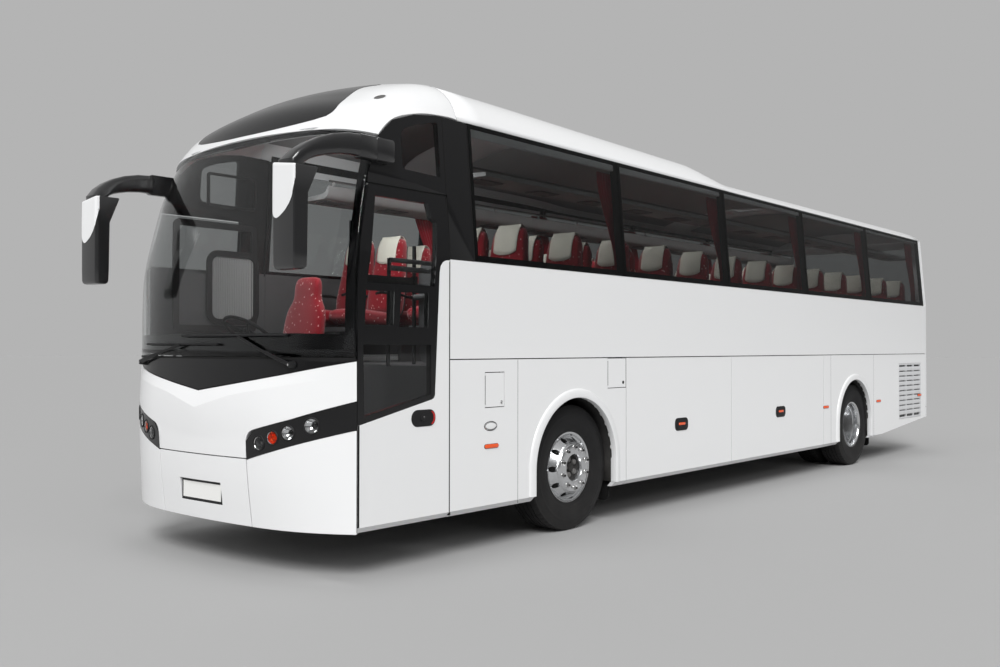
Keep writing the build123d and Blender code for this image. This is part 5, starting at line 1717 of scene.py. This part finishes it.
def make_seats():
    back = cushion_mesh("seat_back_form", [
        soft_ring(((front + rear) / 2, 0, z), (1, 0, 0), (0, 1, 0), (front - rear) / 2, half, 0.5)
        for z, front, rear, half in BACK_RINGS])
    cushion = cushion_mesh("seat_cushion_form", [
        soft_ring((x, 0, (low + high) / 2), (0, 1, 0), (0, 0, 1), half, (high - low) / 2, 0.5)
        for x, low, high, half in CUSHION_RINGS])
    for side, name in HANDS:
        moves = [(x, side * y, 0) for x in seat_xs() for y in SEAT_CENTRES_Y]
        backs = copies_of(back, "seat_backs_" + name, moves, [PLUSH])
        cushions = copies_of(cushion, "seat_cushions_" + name, moves, [PLUSH])
        if side == 1:
            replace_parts(backs, "passenger_seats")
    make_seat_frames()


def make_seat_frames():
    """Shells behind the backs, bases, legs and armrests of the double seats."""
    mould = Mould()
    for x in seat_xs():
        for y in SEAT_CENTRES_Y:
            shell = []
            for z, _, rear, half in BACK_RINGS[:-2]:
                reach = half * 0.90
                shell.append([(x + rear + 0.004, y - reach, z), (x + rear - 0.004, y - reach * 0.92, z),
                              (x + rear - 0.009, y, z), (x + rear - 0.004, y + reach * 0.92, z),
                              (x + rear + 0.004, y + reach, z), (x + rear + 0.006, y, z)])
            mould.loft(shell, finish=0)
            mould.box((x - 0.165, y - 0.13, 2.262), (x - 0.150 - 0.028, y + 0.13, 2.277), 1)
        low, high = SEAT_CENTRES_Y[0] - SEAT_HALF, SEAT_CENTRES_Y[1] + SEAT_HALF
        mould.box((x + 0.04, low + 0.02, 1.650), (x + 0.42, high - 0.02, 1.690), 0)
        mould.box((x + 0.10, 0.62, FLOOR_Z + 0.002), (x + 0.36, 0.66, 1.655), 0)
        mould.box((x + 0.04, 0.58, FLOOR_Z + 0.001), (x + 0.42, 0.70, FLOOR_Z + 0.014), 0)
        for y in (low - 0.022, (low + high) / 2, high + 0.001):
            arm = [(x - 0.090, y, 1.965), (x + 0.020, y, 1.985), (x + 0.220, y, 1.990), (x + 0.270, y, 1.975)]
            mould.tube(arm, [0.010, 0.014, 0.015, 0.011], 8, 1)
    mould.mirrored()
    mould.piece("seat_frames", [TRIM, PLASTIC])


# headrest cover: strip down the front, over the top and down the back, as
# (x from the seat's own x, z), and its half width
COVER_DROP = [(-0.047, 2.262), (-0.0505, 2.300), (-0.057, 2.350), (-0.066, 2.400), (-0.078, 2.441),
              (-0.096, 2.478), (-0.116, 2.501), (-0.140, 2.513), (-0.167, 2.510), (-0.189, 2.497),
              (-0.204, 2.473), (-0.209, 2.440), (-0.207, 2.400), (-0.202, 2.360)]
COVER_HALF = 0.120
COVER_SIDE = 9
COVER_THICK = 0.0016


def make_covers():
    grid_rows = len(COVER_DROP)
    count = 0
    for x in seat_xs():
        for centre in SEAT_CENTRES_Y:
            for side in (1, -1):
                grid = []
                for k, (dx, z) in enumerate(COVER_DROP):
                    row = []
                    for j in range(-COVER_SIDE, COVER_SIDE + 1):
                        across = j / COVER_SIDE
                        end_lift = 0.030 * abs(across) ** 3.0 if k < 4 else 0.0
                        share = 1 - k / 4 if k < 4 else 0.0
                        wrap = 0.012 * across ** 2
                        inward = -wrap if k < grid_rows / 2 else wrap
                        ripple = 0.0012 * math.sin(across * 9 + count)
                        row.append((x + dx + inward + ripple, side * (centre + across * COVER_HALF),
                                    z + end_lift * share))
                    grid.append(row)
                mould = Mould()
                mould.loft(grid, closed=False, capped=False)
                cover = mould.piece("headrest_cover_%02d" % count, [COVER], merge=False)
                thickened(cover, "cloth thickness", COVER_THICK)
                if count == 0:
                    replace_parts(cover, "headrest_covers")
                count += 1


# curtains: forward edge at the top and foot, rear edge at the foot and top, from a pane joint
CURTAIN_TOP = (0.238, -0.058)
CURTAIN_FOOT = (-0.052, -0.228)
CURTAIN_Z = (3.048, 2.202)
CURTAIN_Y = 1.137
FOLD_DEPTH = 0.0085
FOLDS = 7
CURTAIN_THICK = 0.0012


def make_curtains():
    columns = FOLDS * 8
    rows = 16
    replaced = False
    for joint in PANE_JOINTS[1:-1] + [-8.600]:
        for side, hand in HANDS:
            grid = []
            for k in range(rows + 1):
                down = k / rows
                z = CURTAIN_Z[0] + (CURTAIN_Z[1] - CURTAIN_Z[0]) * down
                ease = 3 * down ** 2 - 2 * down ** 3
                front = CURTAIN_TOP[0] + (CURTAIN_FOOT[0] - CURTAIN_TOP[0]) * ease
                rear = CURTAIN_TOP[1] + (CURTAIN_FOOT[1] - CURTAIN_TOP[1]) * ease
                row = []
                for j in range(columns + 1):
                    across = j / columns
                    fold = math.sin(2 * math.pi * FOLDS * across + 0.5 * math.sin(5 * down + joint))
                    depth = FOLD_DEPTH * (0.75 + 0.25 * math.sin(9 * across + joint))
                    row.append((joint + rear + (front - rear) * across, side * (CURTAIN_Y + fold * depth), z))
                grid.append(row)
            mould = Mould()
            mould.loft(grid, closed=False, capped=False)
            name = "curtain_%s_%d" % (hand, round(-joint * 10))
            curtain = mould.piece(name, [CURTAIN], merge=False)
            thickened(curtain, "cloth thickness", CURTAIN_THICK)
            if not replaced:
                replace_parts(curtain, "curtains")
                replaced = True


DRIVER_SEAT_X, DRIVER_SEAT_Y = 1.480, -0.575
# backrest rings: z, x from the seat's own x, half depth, half width
DRIVER_BACK_RINGS = [(1.352, -0.075, 0.045, 0.210), (1.400, -0.080, 0.058, 0.235),
                     (1.550, -0.092, 0.062, 0.246),
                     (1.700, -0.118, 0.058, 0.244), (1.820, -0.138, 0.054, 0.228),
                     (1.880, -0.148, 0.050, 0.180), (1.930, -0.154, 0.048, 0.150),
                     (2.020, -0.160, 0.050, 0.155), (2.080, -0.165, 0.042, 0.140),
                     (2.105, -0.168, 0.024, 0.100)]
# cushion rings: x from the seat's own x, z, half width, half height
DRIVER_CUSHION_RINGS = [(-0.060, 1.290, 0.225, 0.045), (0.000, 1.288, 0.243, 0.056),
                        (0.150, 1.292, 0.247, 0.060), (0.300, 1.298, 0.247, 0.062),
                        (0.360, 1.300, 0.240, 0.056), (0.392, 1.298, 0.215, 0.036)]
BELLOWS_PITCH = 0.052


def make_driver_place():
    """Driver's seat as soft forms, with its base."""
    x, y = DRIVER_SEAT_X, DRIVER_SEAT_Y
    back = [soft_ring((x + dx, y, z), (1, 0, 0), (0, 1, 0), deep, half, 0.55)
            for z, dx, deep, half in DRIVER_BACK_RINGS]
    cushion = [soft_ring((x + dx, y, z), (0, 1, 0), (0, 0, 1), half, tall, 0.5)
               for dx, z, half, tall in DRIVER_CUSHION_RINGS]
    for name, rings in (("driver_back", back), ("driver_cushion", cushion)):
        mould = Mould()
        mould.loft(rings)
        piece = softened(mould.piece(name, [PLUSH]), 2)
        if name == "driver_back":
            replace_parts(piece, "driver_seat")
    base = Mould()
    for k in range(5):
        grow = 0.010 * (k % 2)
        base.box((x - 0.05 - grow, y - 0.17 - grow, 0.960 + k * BELLOWS_PITCH),
                 (x + 0.27 + grow, y + 0.17 + grow, 1.006 + k * BELLOWS_PITCH), 0)
    base.box((x - 0.058, y - 0.178, 0.932), (x + 0.278, y + 0.178, 0.962), 0)
    rounded(base.piece("driver_seat_base", [PLASTIC], smooth=False), 0.010)


# stations of the dashboard's top across the coach: y, front x, rear x
DASH_STATIONS = [(-1.115, 2.330, 2.075), (-1.000, 2.420, 2.062), (-0.860, 2.482, 2.060),
                 (-0.700, 2.535, 2.062), (-0.400, 2.570, 2.066), (-0.250, 2.580, 2.080),
                 (-0.100, 2.588, 2.130), (0.050, 2.592, 2.165), (0.250, 2.582, 2.205),
                 (0.400, 2.570, 2.235), (0.535, 2.556, 2.252)]


def make_dashboard():
    mould = Mould()
    rings = []
    for y, front, rear in DASH_STATIONS:
        rings.append([(front, y, 1.335), (front, y, 1.378), (front - 0.012, y, 1.392),
                      (front - 0.05, y, 1.397),
                      (rear + 0.10, y, 1.399), (rear + 0.03, y, 1.392), (rear + 0.006, y, 1.378),
                      (rear, y, 1.360), (rear + 0.008, y, 1.342), (rear + 0.03, y, 1.335)])
    mould.loft(rings, finish=0)
    hood = [(2.072, 1.400), (2.050, 1.440), (2.034, 1.474), (2.046, 1.496), (2.085, 1.520), (2.140, 1.538),
            (2.168, 1.532), (2.200, 1.505), (2.270, 1.452), (2.335, 1.402)]
    sides = [(-0.856, 0.80), (-0.840, 0.93), (-0.800, 1.0), (-0.610, 1.03), (-0.420, 1.0), (-0.380, 0.93),
             (-0.364, 0.80)]
    mould.loft([[(2.16 + (x - 2.16) * grow, y, 1.400 + (z - 1.400) * grow) for x, z in hood]
                for y, grow in sides], finish=0)
    # dials and switch rows facing the driver
    face = Vector((-0.80, 0, 0.60))
    for k, radius in enumerate((0.030, 0.046, 0.046, 0.030)):
        y = -0.735 + 0.083 * k
        centre = (2.046, y, 1.452)
        mould.turned([(0.0, 0.0), (0.0, radius - 0.004), (0.004, radius - 0.004), (0.008, radius),
                      (-0.006, radius + 0.002), (-0.006, 0.0)], centre, face, 28, finish=1)
    for row in range(2):
        for k in range(9):
            y = -0.20 + k * 0.052
            x = 2.150 + row * 0.052 + 0.04 * (y + 0.2)
            mould.box((x, y, 1.396), (x + 0.036, y + 0.040, 1.408), 1)
    # front wall under the top, the console and the parcel tray
    low = [(2.330, -1.110), (2.482, -0.860), (2.545, -0.680), (2.575, -0.300), (2.585, 0.050), (2.572, 0.380),
           (2.556, 0.536)]
    grid = [[(x - 0.02 - 0.03 * (1 - k / 6), y, 0.935 + 0.40 * k / 6) for x, y in low] for k in range(7)]
    mould.loft(grid + [[(x - 0.06, y, z) for x, y, z in row] for row in reversed(grid)], closed=False,
               capped=False, finish=2)
    console = [(2.070, -0.240), (2.075, -0.225), (2.200, 0.180), (2.260, 0.190), (2.480, 0.200),
               (2.490, 0.190),
               (2.490, -0.240)]
    mould.loft([[(x, y, z) for x, y in console] for z in (0.940, 1.334)], finish=2)
    made = mould.piece("dash_assembly", [TRIM, FRIT, TRIM])
    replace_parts(made, "dashboard")


WHEEL_HUB = (1.930, -0.560, 1.625)
COLUMN_TILT = 35


def make_steering_wheel():
    turn = Matrix.Rotation(math.radians(-COLUMN_TILT), 4, "Y")
    place = Matrix.Translation(WHEEL_HUB) @ turn
    mould = Mould()
    grip = [(0.0148 * math.sin(a), 0.2150 + 0.0148 * math.cos(a)) for a in turns(14)]
    mould.turned(grip, (0, 0, 0), (0, 0, 1), 72, finish=0)
    for angle in turns(4, 0.5):
        out = Vector((math.cos(angle), math.sin(angle), 0))
        path = [out * 0.045 + Vector((0, 0, -0.008)), out * 0.10 + Vector((0, 0, -0.010)),
                out * 0.16 + Vector((0, 0, -0.006)), out * 0.206]
        mould.tube(path, [0.022, 0.017, 0.014, 0.012], 10, 0, 0.45)
    mould.turned([(-0.020, 0.0), (-0.020, 0.040), (0.004, 0.056), (0.014, 0.052), (0.018, 0.036),
                 (0.019, 0.0)],
                 (0, 0, 0), (0, 0, 1), 40, finish=0)
    mould.turned([(-0.160, 0.0), (-0.160, 0.022), (-0.060, 0.022), (-0.018, 0.030), (-0.018, 0.0)],
                 (0, 0, 0), (0, 0, 1), 24, finish=0)
    mould.points = [tuple(place @ Vector(point)) for point in mould.points]
    made = mould.piece("steering_wheel_grip", [PLASTIC], "steering_wheel")
    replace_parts(made, "steering_wheel")


# luggage rack section: y, z from the wall inwards, and back under it
RACK = [(1.118, 2.822), (1.118, 2.852), (0.900, 2.862), (0.790, 2.872), (0.752, 2.890), (0.728, 2.925),
        (0.712, 2.938), (0.702, 2.934), (0.704, 2.915), (0.722, 2.868), (0.744, 2.838), (0.776, 2.824)]
RACK_X = (-8.690, 0.990)


def make_fittings():
    mould = Mould()
    mould.loft([[(x, y, z) for y, z in RACK] for x in RACK_X], finish=0)
    mould.tube([(RACK_X[0], 0.700, 2.975), (RACK_X[1], 0.700, 2.975)], 0.010, 10, 2)
    for k in range(14):
        x = RACK_X[1] - 0.05 - k * SEAT_PITCH * 0.98
        mould.box((x - 0.012, 0.694, 2.930), (x + 0.012, 0.706, 2.978), 0)
    # reading light and air nozzle panels over each row
    for x in seat_xs():
        mould.box((x + 0.05, 0.830, 2.814), (x + 0.33, 0.990, 2.8235), 1)
        for y in (0.870, 0.950):
            mould.turned([(0.0, 0.0), (0.0, 0.022), (0.006, 0.018), (0.008, 0.0)], (x + 0.12, y, 2.814),
                         (0, 0, -1), 16, finish=2)
    mould.mirrored()
    made = mould.piece("rack_set", [TRIM_PALE, TRIM, CASTING])
    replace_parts(made, "saloon_fittings")
    # rounded screen at the stepwell and its padded rails
    screen = Mould()
    outline = []
    for centre_y, centre_z, start in ((0.700, 1.480, 180), (1.050, 1.480, 270), (1.050, 2.080, 0),
                                      (0.700, 2.080, 90)):
        for k in range(7):
            angle = math.radians(start + 15 * k)
            outline.append((1.181, centre_y + 0.095 * math.cos(angle), centre_z + 0.095 * math.sin(angle)))
    screen.plate(outline, (0.018, 0, 0), 0)
    rounded(screen.piece("stair_screen", [TRIM], smooth=False), 0.006)
    rails = Mould()
    rails.tube([(1.230, 0.590, FLOOR_Z + 0.002), (1.230, 0.590, 2.298)], 0.0155, 16, 0)
    for z in (1.560, 1.900):
        rails.tube([(1.230, 0.600, z), (1.226, 0.70, z + 0.004), (1.222, 0.90, z + 0.004), (1.220, 1.130, z)],
                   0.024, 14, 1)
    rails.piece("stair_rails", [PLASTIC, TRIM])


# padded rails at the stepwell: x0, x1, z, radius
STAIR_PADS = [(1.340, 1.960, 2.118, 0.017), (1.340, 1.960, 2.062, 0.019), (1.340, 1.960, 1.950, 0.015)]


def rounded_panel(x0, x1, z0, z1, corner):
    """Outline of an upright panel along the coach, as (x, z)."""
    points = rounded_rectangle((x0 + x1) / 2, (z0 + z1) / 2, (x1 - x0) / 2, (z1 - z0) / 2, corner, 0.0, 6)
    return [(x, z) for x, _, z in points]


def make_cabin_panels():
    """Driver's side of the cabin: window frame, ribbed panel in a rounded frame, padded rails."""
    wall_y = -1.130
    frames = Mould()
    for x0, x1, z0, z1, corner, bar in ((1.450, 2.262, 1.640, 2.560, 0.060, 0.055),
                                        (1.436, 1.955, 1.700, 2.325, 0.110, 0.050),
                                        (1.450, 1.945, 2.690, 2.975, 0.030, 0.022)):
        outer = rounded_panel(x0, x1, z0, z1, corner)
        inner = rounded_panel(x0 + bar, x1 - bar, z0 + bar, z1 - bar, max(corner - bar, 0.012))
        deep = 0.012 if corner > 0.1 else 0.0
        near, far = wall_y + deep, wall_y + deep + 0.018
        frames.loft([[(x, y, z) for x, z in edge] for edge, y in
                     ((outer, near), (outer, far), (inner, far), (inner, near))], capped=False, finish=0)
    fill = rounded_panel(1.470, 2.240, 1.660, 2.120, 0.050)
    frames.plate([(x, wall_y, z) for x, z in fill], (0, 0.006, 0), 1)
    ribs = 24
    for k in range(ribs):
        x = 1.495 + (1.900 - 1.495) * k / (ribs - 1)
        frames.tube([(x, wall_y + 0.012, 1.745), (x, wall_y + 0.012, 2.275)], 0.0085, 8, 2)
    frames.piece("cabin_wall_panels", [PLASTIC, TRIM, TRIM_PALE])
    pads = Mould()
    for x0, x1, z, radius in STAIR_PADS:
        pads.tube([(x0, 1.060, z), ((x0 + x1) / 2, 1.075, z), (x1, 1.085, z)], radius, 14, 0)
    for x in (1.345, 1.955):
        pads.tube([(x, 1.062, FLOOR_Z + 0.002), (x, 1.070, 2.13)], 0.014, 12, 1)
    pads.piece("stair_pads", [TRIM, PLASTIC])


# headlining strips between the roof hatches: name, stations along the coach
HEADLINING = [("rear", (-8.84, -5.95)), ("middle", (-5.25, -3.30, -2.95, -2.60, -2.25, -0.95)),
              ("front", (-0.25, 0.6, 1.370))]
HEADLINING_DROP = Vector((0, 0, -0.060))
# section of the trim under the windows: y, z
LINING_SECTION = [(1.2300, 1.440), (1.2260, 1.440), (1.2240, 2.125), (1.2230, 2.160), (1.2270, 2.160),
                  (1.2285, 2.125)]


def make_saloon_lining():
    """Headlining under the roof and the trim under the windows, both of them thin."""
    ts = both_t([0.0, 0.2, 0.4, 0.55, 0.66, 0.76, 0.86])
    for name, stations in HEADLINING:
        grid = [[tuple(Vector(roof_point(x, t)) + HEADLINING_DROP) for t in ts] for x in stations]
        skin("headlining_" + name, grid, 0.004, [TRIM_PALE], edge=0, inward=(ahead(-4.0), 0.0, 6.0))
    sides = Mould()
    sides.loft([[(x, y, z) for y, z in LINING_SECTION] for x in (-8.840, 1.280)], finish=0)
    sides.mirrored()
    sides.loft([[(x, -y, z) for y, z in LINING_SECTION] for x in (1.282, 2.400)], finish=0)
    sides.piece("side_lining", [TRIM])


# -------------------------------------------------------------------- the tail
# round units of a tail lamp: z, finish of the lens
TAIL_UNITS = [(0.805, 3), (1.002, 2), (1.198, 1), (1.395, 1)]
TAIL_LAMP_X = -8.9391


def make_tail_details():
    """Slots and a round handle on the engine lid, and the rings and lenses of the tail lamps."""
    lid = Mould()
    for k in range(7):
        z = 1.080 + k * 0.050
        lid.box((-9.0165, -0.52, z - 0.010), (-9.0110, 0.52, z + 0.010), 0)
    lid.turned([(0.0, 0.0), (0.0, 0.030), (0.005, 0.029), (0.007, 0.020), (0.005, 0.012), (0.007, 0.0)],
               (-9.0105, 0.0, 0.760), (-1, 0, 0), 32, finish=1)
    lid.piece("engine_lid_slots", [PLASTIC, CHROME], "engine_lid", smooth=False)
    units = Mould()
    for z, lens in TAIL_UNITS:
        place = (TAIL_LAMP_X, 1.05, z)
        units.turned([(-0.012, 0.094), (0.004, 0.094), (0.006, 0.088), (0.004, 0.082), (-0.012, 0.082)],
                     place, (-1, 0.137, 0), 48, finish=0)
        dome = [(0.001 + 0.005 * (1 - (k / 6) ** 2), 0.082 * k / 6) for k in range(7)]
        units.turned(dome + [(-0.012, 0.082), (-0.012, 0.0)], place, (-1, 0.137, 0), 48, finish=lens)
    units.mirrored()
    units.piece("tail_lamp_units", [PLASTIC, RED_LENS, AMBER, PALE_GREY])


make_nose()
make_screen()
make_dome()
make_roof()
make_window_borders()
make_door_skin()
make_seals()
make_quarter_panes()
make_arch_lips()
make_lamps()
make_front_plate()
make_wipers()
make_mirror(1, "left")
make_mirror(-1, "right")
make_side_fittings()
make_door_lock()
make_grilles()
make_wheels()
make_mud_flaps()
make_seats()
make_covers()
make_curtains()
make_driver_place()
make_dashboard()
make_steering_wheel()
make_fittings()
make_saloon_lining()
make_cabin_panels()
make_tail_details()


# --------------------------------------------------------------- studio and camera
BACKGROUND = 0.456
GLOW = 0.62
SUN_POWER = 2.4
SUN_DIRECTION = (0.42, 0.36, 0.50)
FLOOR_ALBEDO = 0.405


def make_studio():
    plane = bpy.data.meshes.new("studio_floor")
    reach = 160.0
    plane.from_pydata([(-reach, -reach, 0), (reach, -reach, 0), (reach, reach, 0), (-reach, reach, 0)],
                      [], [(0, 1, 2, 3)])
    floor = placed("studio_floor", plane)
    plane.materials.append(blank_material("Studio floor", Base_Color=grey(FLOOR_ALBEDO), Roughness=1.0,
                                          Specular_IOR_Level=0.0)[0])
    world = bpy.data.worlds.new("Studio")
    bpy.context.scene.world = world
    world.use_nodes = True
    tree = world.node_tree
    tree.nodes.clear()
    out = add_node(tree, "OutputWorld")
    seen = add_node(tree, "Background", Color=grey(BACKGROUND))
    glow = add_node(tree, "Background", Color=grey(GLOW))
    mirrored = add_node(tree, "Background", Color=sky_by_height(tree))
    rays = add_node(tree, "LightPath")
    first = mixed_shader(tree, rays.outputs["Is Diffuse Ray"], seen, glow)
    second = mixed_shader(tree, rays.outputs["Is Glossy Ray"], first, mirrored)
    link(tree, second.outputs[0], out.inputs[0])


def mixed_shader(tree, factor, first, second):
    mix = add_node(tree, "MixShader")
    for socket, source in zip(mix.inputs, (factor, first.outputs[0], second.outputs[0])):
        link(tree, source, socket)
    return mix


# what polish and glass see round them: height of the direction, grey level
MIRRORED_SKY = [(0.47, 0.30), (0.52, 0.10), (0.60, 0.18), (0.70, 0.34), (0.85, 0.42), (1.0, 0.48)]
# grey level that they see to the coach's right
RIGHT_SKY = 0.42


def sky_by_height(tree):
    """The background as polished surfaces see it: dark at eye level, bright overhead."""
    place = add_node(tree, "TexCoord")
    parts = add_node(tree, "SeparateXYZ", Vector=place.outputs["Generated"])
    spread = add_node(tree, "MapRange", From_Min=-1.0, Value=parts.outputs["Z"])
    ramp = add_node(tree, "ValToRGB")
    stops = ramp.color_ramp.elements
    while len(stops) < len(MIRRORED_SKY):
        stops.new(0.5)
    for stop, (place_at, level) in zip(stops, MIRRORED_SKY):
        stop.position = place_at
        stop.color = grey(level)
    link(tree, spread.outputs[0], ramp.inputs[0])
    rightward = add_node(tree, "MapRange", From_Min=-0.05, From_Max=-0.35, Value=parts.outputs["Y"])
    return node_mix(tree, rightward.outputs[0], ramp.outputs[0], grey(RIGHT_SKY))


def point_lamp_at(holder, place, aim):
    holder.location = place
    holder.rotation_euler = (Vector(aim) - Vector(place)).to_track_quat("-Z", "Y").to_euler()
    bpy.context.scene.collection.objects.link(holder)


def sun_lamp():
    lamp = bpy.data.lights.new("soft_sun", "SUN")
    lamp.energy = SUN_POWER
    lamp.angle = math.radians(28)
    point_lamp_at(bpy.data.objects.new("soft_sun", lamp), tuple(20 * Vector(SUN_DIRECTION)), (0, 0, 0))


def area_lamp(name, place, aim, size, power, hidden=False):
    lamp = bpy.data.lights.new(name, "AREA")
    lamp.shape = "RECTANGLE"
    lamp.size, lamp.size_y = size
    lamp.energy = power
    holder = bpy.data.objects.new(name, lamp)
    if hidden:
        holder.visible_camera = False
        holder.visible_glossy = False
        holder.visible_transmission = False
    point_lamp_at(holder, place, aim)


make_studio()
sun_lamp()
area_lamp("highlight_side", (-2.0, 14.0, 7.0), (0, 0, 2.4), (18, 1.2), 160, True)
area_lamp("highlight_front", (15.0, -2.0, 6.0), (5.5, 0, 1.8), (3, 5), 130, True)
area_lamp("saloon_light", (-1.0, 0, 3.02), (-1.0, 0, 0), (9.0, 0.5), 85, True)
area_lamp("cabin_light", (4.75, 0.2, 2.95), (3.4, 0.2, 1.6), (1.6, 0.5), 28, True)

CAMERA_PLACE = (6.8032, 6.1663, 1.5139)
CAMERA_YAW = -2.441
CAMERA_PITCH = 0.0137
CAMERA_ROLL = 0.0014
FOCAL_PX = 1011.39
IMAGE_W = 1000


def make_camera():
    data = bpy.data.cameras.new("camera")
    data.sensor_width = 36.0
    data.lens = FOCAL_PX / IMAGE_W * data.sensor_width
    data.clip_end = 400.0
    camera = bpy.data.objects.new("camera", data)
    x, y, z = CAMERA_PLACE
    look = Vector((math.cos(CAMERA_YAW) * math.cos(CAMERA_PITCH),
                   math.sin(CAMERA_YAW) * math.cos(CAMERA_PITCH), math.sin(CAMERA_PITCH)))
    turn = look.to_track_quat("-Z", "Y").to_matrix().to_4x4()
    roll = Matrix.Rotation(CAMERA_ROLL, 4, "Z")
    camera.matrix_world = Matrix.Translation((ahead(x), y, z)) @ turn @ roll
    bpy.context.scene.collection.objects.link(camera)
    bpy.context.scene.camera = camera


make_camera()
bpy.context.scene.view_settings.view_transform = "Standard"
